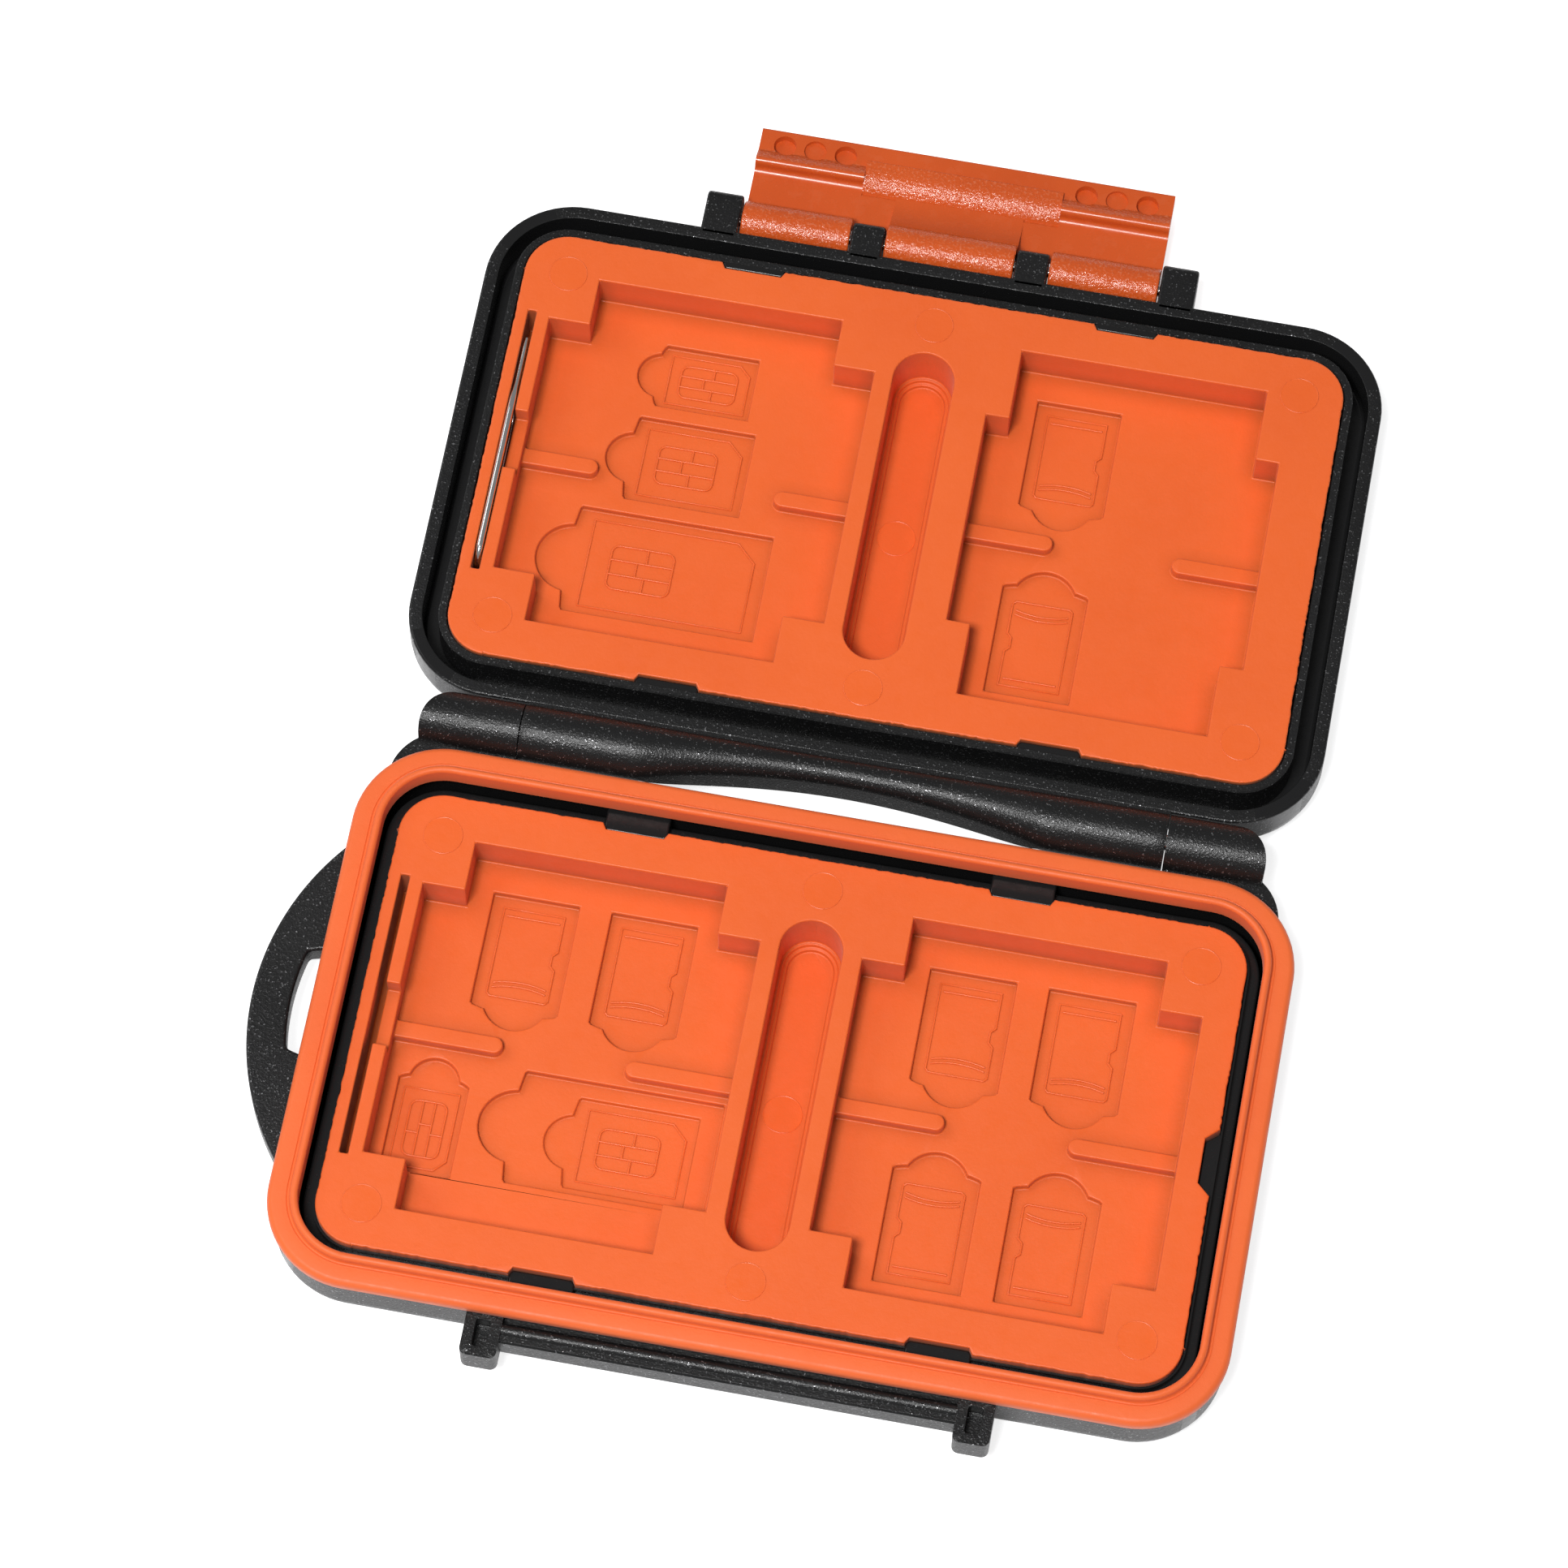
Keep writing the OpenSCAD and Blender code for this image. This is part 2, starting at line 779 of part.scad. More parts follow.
module lid_tray() {
    color(orange)
        in_lid() {
            difference() {
                tray_blank(lid_tray_top);
                translate([-pocket_x, 0, 0]) {
                    pocket(wide_card_l, wide_card_w, lid_tray_top);
                    nano_sim_nest(0, sim_rows[0], 180, lid_tray_top);
                    micro_sim_nest(0, sim_rows[1], 180, lid_tray_top);
                    mini_sim_nest(0, sim_rows[2], 180, lid_tray_top);
                }
                translate([pocket_x, 0, 0]) {
                    pocket(mid_card_l, mid_card_w, lid_tray_top);
                    micro_card_nest(-card_column, upper_row, -90, lid_tray_top);
                    micro_card_nest(-card_column, -lower_row, 90, lid_tray_top);
                }
            }
            translate([-pocket_x, 0, 0])
                pocket_ribs(wide_card_l, sim_rib_gap, lid_tray_top);
            translate([pocket_x, 0, 0])
                pocket_ribs(mid_card_l, rib_gap, lid_tray_top);
        }
}

// The latch, drawn from its own axis: Y is the distance along the plate

module plate_section() {
    channel_u = knuckle_r + channel_in;
    polygon([
        [0, -plate_out],
        [plate_l - plate_edge, -plate_out],
        [plate_l, plate_edge - plate_out],
        [plate_l, -plate_set - plate_lip],
        [plate_l - plate_lip, -plate_set],
        [hook_u, -plate_set],
        [hook_u - channel_ramp, -plate_set - channel_d],
        [channel_u, -plate_set - channel_d],
        [channel_u - channel_ramp, -plate_set],
        [0, -plate_set]
    ]);
}

module hook_section() {
    top = hook_h - plate_set;
    foot = -plate_set - channel_d;
    polygon([
        [hook_u, foot],
        [hook_u, top],
        [hook_u + hook_t, top],
        [hook_u + hook_t + hook_foot, -plate_set],
        [hook_u + hook_t + hook_foot, foot]
    ]);
}

module wedge_section() {
    foot = -plate_set - 2 * channel_d;
    polygon([
        [wedge_u0, foot],
        [wedge_u0, -plate_set],
        [wedge_u1, wedge_h - plate_set],
        [wedge_u1, foot]
    ]);
}

module ear_window() {
    window_l = end_knuckle_x0 - mid_knuckle_l / 2;
    translate([mid_knuckle_l / 2, -over, -plate_out - over])
        cube([window_l, window_u + over, plate_t + 2 * over]);
}

module latch() {
    color(deep_orange)
        in_lid()
            translate([0, latch_y, latch_z])
                difference() {
                    union() {
                        rod(-mid_knuckle_l / 2, mid_knuckle_l / 2, knuckle_r);
                        along_x(-wedge_hl, wedge_hl)
                            wedge_section();
                        difference() {
                            along_x(-latch_hl, latch_hl)
                                plate_section();
                            both_sides()
                                ear_window();
                        }
                        both_sides() {
                            rod(end_knuckle_x0, latch_hl, knuckle_r);
                            along_x(wedge_hl, latch_hl)
                                hook_section();
                        }
                    }
                    rod(-latch_hl - over, latch_hl + over, latch_pin_r + run_fit);
                    both_sides()
                        for (i = [0:2])
                            translate([dimple_x + i * dimple_pitch, dimple_u, -plate_set - dimple_d])
                                cylinder(h = dimple_d + over, r = dimple_r);
                }
}

module latch_pin() {
    color(steel)
        in_lid()
            translate([0, latch_y, latch_z])
                rod(pin_recess - ear_x1, ear_x1 - pin_recess, latch_pin_r);
}

// The steel pin, a loop of wire on edge in the lid tray's slot

module wire(y0, y1, z, r) {
    translate([0, y0, z])
        rotate([-90, 0, 0])
            cylinder(h = y1 - y0, r = r);
}

module loop_end(y, turn) {
    translate([0, y, loop_z])
        rotate([0, 90, 0])
            rotate([0, 0, turn])
                rotate_extrude(angle = 180)
                    translate([loop_r, 0])
                        circle(r = wire_r);
}

module sim_pin() {
    color(steel)
        in_lid()
            translate([-slot_x, 0, 0]) {
                wire(loop_y0, loop_y1, loop_z - loop_r, wire_r);
                wire(loop_y0, loop_y1, loop_z + loop_r, wire_r);
                loop_end(loop_y1, 0);
                loop_end(loop_y0, 180);
                wire(tip_y0, tip_y0 + tip_l, tip_z, tip_r);
            }
}

body_shell();
gasket();
body_tray();
hinge_pin_left();
hinge_pin_right();
lid_shell();
lid_tray();
latch();
latch_pin();
sim_pin();
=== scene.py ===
# %% [markdown]
# # A memory card case, lying open
#
# The real object is a pocket case: two black moulded shells on a long hinge, an orange
# rubber tray in each, an orange seal round the lower one and an orange snap latch on the
# upper one. Everything here is built round a fixed frame of solid parts, in metres, with
# +X along the hinge, -Y at the front and +Z up.

# %% Load the fixed frame
import math
import random
import bmesh
import bpy
from mathutils import Euler, Matrix, Vector
from mathutils.geometry import delaunay_2d_cdt


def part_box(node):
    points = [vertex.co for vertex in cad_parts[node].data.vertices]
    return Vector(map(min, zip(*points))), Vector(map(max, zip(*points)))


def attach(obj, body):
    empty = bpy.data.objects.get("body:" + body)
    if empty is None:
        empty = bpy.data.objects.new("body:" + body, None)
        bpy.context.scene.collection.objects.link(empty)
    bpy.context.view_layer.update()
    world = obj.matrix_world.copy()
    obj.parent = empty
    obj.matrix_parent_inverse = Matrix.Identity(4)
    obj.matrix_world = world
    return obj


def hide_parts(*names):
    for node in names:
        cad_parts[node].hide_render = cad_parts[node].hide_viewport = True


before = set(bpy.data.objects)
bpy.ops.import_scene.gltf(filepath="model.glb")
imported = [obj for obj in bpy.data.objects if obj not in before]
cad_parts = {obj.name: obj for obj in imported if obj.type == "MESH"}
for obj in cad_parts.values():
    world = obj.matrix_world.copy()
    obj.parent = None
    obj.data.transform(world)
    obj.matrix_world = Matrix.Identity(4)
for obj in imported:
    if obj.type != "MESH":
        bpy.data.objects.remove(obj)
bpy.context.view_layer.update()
MM = 0.001
print("frame:", sorted(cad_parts))

# %% [markdown]
# ## The sizes that everything shares
#
# The frame gives the place of each tray and shell. The other values are the ones a
# mould maker would put on the drawing, in millimetres.

# %% Main sizes, in millimetres
tray_low, tray_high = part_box("body_tray")
lid_tray_low, lid_tray_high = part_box("lid_tray")
TRAY_HALF_L = tray_high.x / MM
TRAY_HALF_W = tray_high.y / MM
TRAY_FOOT = tray_low.z / MM
TRAY_TOP = tray_high.z / MM
LID_TRAY_TOP = lid_tray_high.z / MM
LID_Y = (lid_tray_low.y + lid_tray_high.y) / 2 / MM
TRAY_CORNER = 5.7
RIM_Z = 11.0
HINGE_Y = LID_Y / 2
HINGE_Z = 11.4
HINGE_R = 3.6
SHELL_OUT = 5.35
WALL_IN = 2.75
BASE_ROUND = 5.5
LID_INSET = 0.2
LID_CORNER = 11.6
LID_RIM_Z = 9.85
TRAY_OUTLINE = (TRAY_HALF_L, TRAY_HALF_W, TRAY_CORNER)
CUT_TOP = 20
OVERLAP = 1
print("trays", 2 * TRAY_HALF_L, "x", 2 * TRAY_HALF_W, "lid centre at", LID_Y)

# %% [markdown]
# ## Helpers for flat outlines
#
# Most of this object is moulded from flat drawings: a round-cornered rectangle, a pocket,
# a nest. Each outline is a list of points in millimetres, drawn anticlockwise.

# %% Outlines
def arc(cx, cy, r, start, end, steps):
    turn = [math.radians(start + (end - start) * i / steps) for i in range(steps + 1)]
    return [(cx + r * math.cos(a), cy + r * math.sin(a)) for a in turn]


def box_plan(cx, cy, l, w):
    return [
        (cx - l / 2, cy - w / 2), (cx + l / 2, cy - w / 2),
        (cx + l / 2, cy + w / 2), (cx - l / 2, cy + w / 2),
    ]


def round_plan(half_l, half_w, r, steps=12):
    points = []
    for quarter, (sx, sy) in enumerate([(1, 1), (-1, 1), (-1, -1), (1, -1)]):
        centre = (sx * (half_l - r), sy * (half_w - r))
        points += arc(*centre, r, 90 * quarter, 90 * quarter + 90, steps)
    return points


def shifted(points, dx, dy):
    return [(x + dx, y + dy) for x, y in points]


# %% Mesh helpers
MERGE = 0.002


def metres(x, y, z):
    return (x * MM, y * MM, z * MM)


def placed(name, data):
    """Puts a mesh, a curve, a lamp or a camera in the scene."""
    thing = bpy.data.objects.new(name, data)
    bpy.context.scene.collection.objects.link(thing)
    return thing


def raw_mesh(name, bm):
    mesh = bpy.data.meshes.new(name)
    bm.to_mesh(mesh)
    bm.free()
    return placed(name, mesh)


def mesh_object(name, bm):
    """A mesh with its double points merged and its faces turned outwards."""
    bmesh.ops.remove_doubles(bm, verts=bm.verts, dist=MERGE * MM)
    bmesh.ops.recalc_face_normals(bm, faces=bm.faces)
    return raw_mesh(name, bm)


def settled(piece):
    """The piece with its modifiers made real."""
    bpy.context.view_layer.update()
    graph = bpy.context.evaluated_depsgraph_get()
    mesh = bpy.data.meshes.new_from_object(piece.evaluated_get(graph))
    piece.modifiers.clear()
    if piece.type != "MESH":
        solid = placed(piece.name + "_solid", mesh)
        bpy.data.objects.remove(piece)
        return solid
    piece.data = mesh
    return piece


def carve(piece, cutter, how):
    step = piece.modifiers.new(how, "BOOLEAN")
    step.operation = how
    step.solver = "EXACT"
    step.object = cutter
    piece = settled(piece)
    bpy.data.objects.remove(cutter)
    return piece


def eased(piece, width, segments=3, angle=40, clamp=True):
    """Rounds every edge that is sharper than the angle."""
    step = piece.modifiers.new("eased edges", "BEVEL")
    step.width = width * MM
    step.segments = segments
    step.limit_method = "ANGLE"
    step.angle_limit = math.radians(angle)
    step.use_clamp_overlap = clamp
    step.loop_slide = False
    return settled(piece)


def joined(name, parts):
    bm = bmesh.new()
    for part in parts:
        bm.from_mesh(part.data)
        bpy.data.objects.remove(part)
    return raw_mesh(name, bm)


def coated(part, index, where=None):
    """Gives the part's faces, or those that the test picks, the coat of that number."""
    for face in part.data.polygons:
        if where is None or where(face.center / MM, face.normal):
            face.material_index = index
    return part


def finished(piece, body, node, slot, *coats, angle=32):
    """Coats a piece, shades it smooth with flat faces kept flat, and seats it."""
    piece.data.shade_smooth()
    piece.data.set_sharp_from_angle(angle=math.radians(angle))
    step = piece.modifiers.new("flat faces stay flat", "WEIGHTED_NORMAL")
    step.keep_sharp = True
    picked = [face.material_index for face in piece.data.polygons]
    piece.data.materials.clear()
    for coat in coats:
        piece.data.materials.append(coat)
    last = len(coats) - 1
    piece.data.polygons.foreach_set("material_index", [min(i, last) for i in picked])
    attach(piece, body)
    if node:
        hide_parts(node)
    print(piece.name, len(piece.data.polygons), "faces, rides on", body)


# %% Solids from outlines
def loft(name, rings):
    """A solid through rings of (x, y, z) points, closed at both ends."""
    bm = bmesh.new()
    corners = [[bm.verts.new(metres(*point)) for point in ring] for ring in rings]
    bm.faces.new(corners[0])
    bm.faces.new(corners[-1])
    for near, far in zip(corners, corners[1:]):
        for i in range(len(near)):
            k = (i + 1) % len(near)
            bm.faces.new((near[i], near[k], far[k], far[i]))
    return mesh_object(name, bm)


def prism(name, outline, z0, z1):
    """An outline drawn in X and Y, carried up."""
    return loft(name, [[(x, y, z) for x, y in outline] for z in (z0, z1)])


def bar(name, section, x0, x1):
    """A section drawn in Y and Z, carried along X."""
    return loft(name, [[(x, y, z) for y, z in section] for x in (x0, x1)])


PLAN_MERGE = 0.03


def relief(name, regions, foot):
    """A moulded block from a plan: each region sets the height of what it covers, and a
    height of None is a hole. Later regions win."""
    points, faces = [], []
    for outline, _ in regions:
        faces.append(list(range(len(points), len(points) + len(outline))))
        points += [Vector(p) for p in outline]
    plan = delaunay_2d_cdt(points, [], faces, 1, PLAN_MERGE)
    places, cells, owners = plan[0], plan[2], plan[5]
    heights = [regions[max(o)][1] if o else None for o in owners]
    kept = [(c, h) for c, h in zip(cells, heights) if h is not None]
    levels = {}
    sides = {}
    for cell, height in kept:
        for i, a in enumerate(cell):
            b = cell[(i + 1) % len(cell)]
            levels.setdefault(a, {foot}).add(height)
            sides[(a, b)] = height
    for a, b in list(sides):
        if (b, a) not in sides:
            sides[(b, a)] = foot
    bm = bmesh.new()
    made = {}

    def corner(i, z):
        if (i, z) not in made:
            made[(i, z)] = bm.verts.new(metres(*places[i], z))
        return made[(i, z)]

    for cell, height in kept:
        bm.faces.new([corner(i, height) for i in cell])
        bm.faces.new([corner(i, foot) for i in reversed(cell)])
    for (a, b), high in sides.items():
        low = sides[(b, a)]
        if high > low:
            up = sorted(z for z in levels[b] if low <= z <= high)
            down = sorted((z for z in levels[a] if low <= z <= high), reverse=True)
            bm.faces.new([corner(a, z) for z in down] + [corner(b, z) for z in up])
    return raw_mesh(name, bm)


# %% [markdown]
# ## A sweep made with nodes
#
# The shells' walls and the seal have one section all the way round, so a node tree carries
# a drawn section along a round-cornered rectangle. Its sizes are named inputs, and the
# result is made a plain mesh afterwards.

# %% Node helpers
def connect(tree, socket, value):
    """Fills a socket with a value, a colour or the output of another node."""
    if isinstance(value, bpy.types.NodeSocket):
        tree.links.new(value, socket)
    elif socket.type == "RGBA":
        socket.default_value = (*value, 1)
    else:
        socket.default_value = value


def new_node(tree, kind, inputs, out=0, **settings):
    """Adds a node, sets it up, fills its inputs and gives one of its outputs."""
    made = tree.nodes.new(kind)
    for setting, value in settings.items():
        setattr(made, setting, value)
    for name, value in inputs.items():
        connect(tree, made.inputs[name], value)
    return made.outputs[out]


# %% The sweep tree
def new_tree(name, **sockets):
    """A geometry tree with the named inputs, and those inputs inside it."""
    tree = bpy.data.node_groups.new(name, "GeometryNodeTree")
    for title, kind in sockets.items():
        tree.interface.new_socket(title, in_out="INPUT", socket_type="NodeSocket" + kind)
    tree.interface.new_socket("Geometry", in_out="OUTPUT", socket_type="NodeSocketGeometry")
    return tree, tree.nodes.new("NodeGroupInput").outputs


def finish_tree(tree, last, coat):
    real = new_node(tree, "GeometryNodeRealizeInstances", {"Geometry": last})
    coated_mesh = new_node(tree, "GeometryNodeSetMaterial", {"Geometry": real, "Material": coat})
    tree.links.new(coated_mesh, tree.nodes.new("NodeGroupOutput").inputs["Geometry"])
    return tree


def sweep_tree():
    tree, given = new_tree("Section round a rectangle", Section="Object", Length="Float",
                           Width="Float", Corner="Float", Steps="Int", Material="Material")
    path = new_node(tree, "GeometryNodeCurvePrimitiveQuadrilateral",
                    {"Width": given["Length"], "Height": given["Width"]})
    rounded = new_node(tree, "GeometryNodeFilletCurve", {
        "Curve": path, "Radius": given["Corner"], "Count": given["Steps"]}, mode="POLY")
    section = new_node(tree, "GeometryNodeObjectInfo", {"Object": given["Section"]}, "Geometry")
    sweep = new_node(tree, "GeometryNodeCurveToMesh", {"Curve": rounded, "Profile Curve": section})
    return finish_tree(tree, sweep, given["Material"])


SWEEP = sweep_tree()
CORNER_STEPS = 16
print("sweep tree inputs:", [item.name for item in SWEEP.interface.items_tree])


def set_inputs(step, values):
    for item in step.node_group.interface.items_tree:
        if item.item_type == "SOCKET" and item.in_out == "INPUT" and item.name in values:
            step[item.identifier] = values[item.name]


def poly_curve(name, strokes):
    """A curve of straight runs: each stroke is its points and whether it closes."""
    curve = bpy.data.curves.new(name, "CURVE")
    curve.dimensions = "3D"
    for points, closed in strokes:
        spline = curve.splines.new("POLY")
        spline.points.add(len(points) - 1)
        spline.use_cyclic_u = closed
        for place, point in zip(spline.points, points):
            place.co = (*metres(*point), 1)
    return placed(name, curve)


def grown(name, tree, values):
    """An empty mesh whose shape comes from a node tree, made plain."""
    holder = placed(name, bpy.data.meshes.new(name))
    step = holder.modifiers.new(tree.name, "NODES")
    step.node_group = tree
    set_inputs(step, values)
    return settled(holder)


def swept(name, section, half_l, half_w, corner, material, closed=True):
    """Carries a section of (distance outwards, height) round a rectangle."""
    profile = poly_curve(name + "_section", [([(out, -z, 0) for out, z in section], closed)])
    piece = grown(name, SWEEP, {
        "Section": profile, "Length": 2 * half_l * MM, "Width": 2 * half_w * MM,
        "Corner": corner * MM, "Steps": CORNER_STEPS, "Material": material,
    })
    bm = bmesh.new()
    bm.from_mesh(piece.data)
    for helper in (profile, piece):
        bpy.data.objects.remove(helper)
    bmesh.ops.remove_doubles(bm, verts=bm.verts, dist=MERGE * MM)
    if not closed:
        bmesh.ops.holes_fill(bm, edges=[e for e in bm.edges if e.is_boundary])
    return mesh_object(name, bm)


# %% Trees that set marks out on points
LINE_SIDES = 8
DISC_SIDES = 40


def on_points(tree, mark, given):
    """Puts the mark on every point of an object, turned by the point's own angle."""
    places = new_node(tree, "GeometryNodeObjectInfo", {"Object": given["Places"]}, "Geometry")
    angle = new_node(tree, "GeometryNodeInputNamedAttribute", {"Name": "turn"}, data_type="FLOAT")
    spin = new_node(tree, "ShaderNodeCombineXYZ", {"Z": angle})
    return new_node(tree, "GeometryNodeInstanceOnPoints",
                    {"Points": places, "Instance": mark, "Rotation": spin})


def round_tube(tree, path, radius):
    """A round line along a path."""
    ring = new_node(tree, "GeometryNodeCurvePrimitiveCircle",
                    {"Resolution": LINE_SIDES, "Radius": radius})
    return new_node(tree, "GeometryNodeCurveToMesh",
                    {"Curve": path, "Profile Curve": ring, "Fill Caps": True})


def line_tree():
    tree, given = new_tree("Raised lines on points", Places="Object", Drawing="Object",
                           Line="Float", Material="Material")
    drawing = new_node(tree, "GeometryNodeObjectInfo", {"Object": given["Drawing"]}, "Geometry")
    tube = round_tube(tree, drawing, given["Line"])
    return finish_tree(tree, on_points(tree, tube, given), given["Material"])


def disc_tree():
    tree, given = new_tree("Ejector marks on points", Places="Object", Radius="Float",
                           Height="Float", Line="Float", Material="Material")
    disc = new_node(tree, "GeometryNodeMeshCylinder", {
        "Vertices": DISC_SIDES, "Radius": given["Radius"], "Depth": given["Height"]})
    edge = new_node(tree, "GeometryNodeCurvePrimitiveCircle",
                    {"Resolution": DISC_SIDES, "Radius": given["Radius"]})
    both = new_node(tree, "GeometryNodeJoinGeometry", {"Geometry": disc})
    connect(tree, both.node.inputs["Geometry"], round_tube(tree, edge, given["Line"]))
    return finish_tree(tree, on_points(tree, both, given), given["Material"])


LINES = line_tree()
DISCS = disc_tree()
print("trees:", [tree.name for tree in bpy.data.node_groups])


def place_points(name, places):
    """A loose mesh with a point at each (x, y, z) and the angle of its mark."""
    mesh = bpy.data.meshes.new(name)
    mesh.from_pydata([metres(*place[:3]) for place in places], [], [])
    turn = mesh.attributes.new("turn", "FLOAT", "POINT")
    turn.data.foreach_set("value", [math.radians(place[3]) for place in places])
    return placed(name, mesh)


def marked(name, tree, places, values, drawing=None):
    """Runs one of the trees and keeps its result as a plain mesh."""
    points = place_points(name + "_places", places)
    piece = grown(name, tree, {"Places": points, "Drawing": drawing, **values})
    for helper in (points, drawing):
        if helper is not None:
            bpy.data.objects.remove(helper)
    return piece


# %% [markdown]
# ## Finishes
#
# The shells are moulded from black ABS in a spark-eroded tool, so they have a fine grain
# that breaks every highlight into sparks. The trays are dull rubber, the latch is a
# harder and shinier orange, and the pins are drawn wire. Each finish is a few noise
# textures on Object coordinates, which stay put from every side. The black and the
# latch's pebbles also carry painted glints, and the rubber carries painted shade in its
# corners, from an occlusion node.

# %% Material helpers
def surfaced(material, **sockets):
    """Fills sockets of the material's surface, then hands the material back."""
    tree = material.node_tree
    for socket, value in sockets.items():
        connect(tree, tree.nodes["Principled BSDF"].inputs[socket.replace("_", " ")], value)
    return material


def new_finish(name, base, roughness, **sockets):
    """A material, its nodes and the Object coordinates for its noise."""
    material = bpy.data.materials.new(name)
    material.use_nodes = True
    surfaced(material, Base_Color=base, Roughness=roughness, **sockets)
    tree = material.node_tree
    return material, tree, new_node(tree, "ShaderNodeTexCoord", {}, "Object")


def grain(tree, place, size, detail=2.0, roughness=0.6):
    """Noise whose lumps are about the given size in millimetres."""
    return new_node(tree, "ShaderNodeTexNoise", {
        "Vector": place, "Scale": 1 / (size * MM), "Detail": detail, "Roughness": roughness})


def between(tree, factor, low, high, from_low=0.3, from_high=0.7):
    """Turns noise into a number between two limits."""
    return new_node(tree, "ShaderNodeMapRange", {
        "Value": factor, "From Min": from_low, "From Max": from_high, "To Min": low,
        "To Max": high})


def two_colours(tree, factor, first, second, blend="MIX"):
    """Mixes two colours, each a colour or the output of another node."""
    return new_node(tree, "ShaderNodeMix", {"Factor": factor, "A": first, "B": second}, "Result",
                    data_type="RGBA", blend_type=blend)


def clouded(tree, place, size, detail, first, second):
    """Two colours that drift into one another in clouds of that size."""
    return two_colours(tree, between(tree, grain(tree, place, size, detail), 0, 1), first, second)


def bumped(tree, height, strength, depth, **under):
    """Bumps up to the depth in millimetres, over those given as Normal."""
    return new_node(tree, "ShaderNodeBump", {
        "Height": height, "Strength": strength, "Distance": depth * MM, **under})


# %% Black shells: grained outside, glossy in the moulded channels
BLACK = (0.007, 0.007, 0.0072)
GREY_BLACK = (0.0105, 0.0105, 0.0108)
# The spark grey is a painted glint: grains at noise peaks are lighter in base colour.
PAINTED_GLINT_GREY = (0.34, 0.34, 0.35)
SPARK_METAL = 0.9
GLINT_RANGE = (0.65, 0.71)
SPARK_SIZE = 0.3
SPARK_DEPTH = 0.075
SHELL_CLOUD = 14
RIPPLE_SIZE = 5
WEAR_SIZE = 0.8
CHANNEL_TONE = (0.012, 0.012, 0.0124)


def grained_black():
    """Black plastic with a spark-eroded grain. Single grains are metal-like flecks that reflect the
    lamps, and their grey base colour is a painted glint that stays light under any lamp.
    """
    material, tree, place = new_finish("shell_black", BLACK, 0.4, Specular_IOR_Level=0.36)
    sparks = grain(tree, place, SPARK_SIZE, 2)
    skin = clouded(tree, place, SHELL_CLOUD, 3, BLACK, GREY_BLACK)
    painted_glints = between(tree, sparks, 0, 1, *GLINT_RANGE)
    return surfaced(
        material, Base_Color=two_colours(tree, painted_glints, skin, PAINTED_GLINT_GREY),
        Metallic=between(tree, sparks, 0, SPARK_METAL, *GLINT_RANGE),
        Roughness=between(tree, sparks, 0.4, 0.26),
        Normal=bumped(tree, sparks, 1.0, SPARK_DEPTH))


def glossy_black():
    """The same plastic where the tool was polished."""
    material, tree, place = new_finish("channel_black", CHANNEL_TONE, 0.25,
                                       Specular_IOR_Level=0.3)
    ripple = grain(tree, place, RIPPLE_SIZE, 2)
    wear = grain(tree, place, WEAR_SIZE, 4)
    return surfaced(
        material, Base_Color=two_colours(tree, between(tree, wear, 0, 1), CHANNEL_TONE, GREY_BLACK),
        Roughness=between(tree, wear, 0.16, 0.3), Normal=bumped(tree, ripple, 0.3, 0.06))


SHELL_BLACK = grained_black()
CHANNEL_BLACK = glossy_black()
print("black:", SHELL_BLACK.name, CHANNEL_BLACK.name)

# %% Orange rubber of the trays and the seal
TRAY_ORANGE = (0.82, 0.134, 0.023)
TRAY_DEEP = (0.78, 0.121, 0.02)
SEAL_ORANGE = (0.84, 0.148, 0.032)
SEAL_DEEP = (0.8, 0.132, 0.028)
# The next two colours are painted shade, multiplied into the rubber where corners and sunk walls
# close it in.
TRAY_PAINTED_SHADE = (0.4, 0.55, 0.32)
SEAL_PAINTED_SHADE = (0.85, 0.88, 0.8)
WHITE = (1.0, 1.0, 1.0)
PAINTED_SHADE_REACH = 2.6
PAINTED_SHADE_RAYS = 8
RUBBER_CLOUD = 22
SKIN_SIZE = 0.45
DUST_SIZE = 2.2


def painted_corner_shade(tree, skin, shade_share):
    """Paints shade into the skin: darker in corners and on the walls of what is sunk in it, the
    more closed in each point is.
    """
    openness = new_node(tree, "ShaderNodeAmbientOcclusion", {"Distance": PAINTED_SHADE_REACH * MM}, "AO",
                        samples=PAINTED_SHADE_RAYS)
    shade = two_colours(tree, openness, shade_share, WHITE)
    return two_colours(tree, 1, skin, shade, "MULTIPLY")


def rubber(name, light, deep, roughness, grain_depth, shade_share):
    material, tree, place = new_finish(name, light, roughness, Sheen_Weight=0.08,
                                       Specular_IOR_Level=0.4)
    skin = grain(tree, place, SKIN_SIZE, 4)
    dust = grain(tree, place, DUST_SIZE, 5, 0.75)
    tone = clouded(tree, place, RUBBER_CLOUD, 4, light, deep)
    return surfaced(
        # The base colour carries painted shade in corners and on sunk walls.
        material, Base_Color=painted_corner_shade(tree, tone, shade_share),
        Roughness=between(tree, dust, roughness - 0.08, roughness + 0.1),
        Normal=bumped(tree, dust, 0.35, grain_depth * 2,
                      Normal=bumped(tree, skin, 0.5, grain_depth)))


TRAY_RUBBER = rubber("tray_orange", TRAY_ORANGE, TRAY_DEEP, 0.45, 0.05, TRAY_PAINTED_SHADE)
MARK_RUBBER = rubber("mark_orange", TRAY_ORANGE, TRAY_DEEP, 0.36, 0.05, WHITE)
SEAL_RUBBER = rubber("gasket_orange", SEAL_ORANGE, SEAL_DEEP, 0.5, 0.045, SEAL_PAINTED_SHADE)

# %% Latch plastic: one mould, polished in places and pebbled in others
LATCH_ORANGE = (0.62, 0.094, 0.016)
LATCH_DEEP = (0.56, 0.08, 0.013)
# The pale colour is a painted glint on the tops of the pebbles.
LATCH_GLINT_PALE = (0.95, 0.5, 0.3)
GLINT_TIP_RANGE = (0.54, 0.66)
LATCH_CLOUD = 16


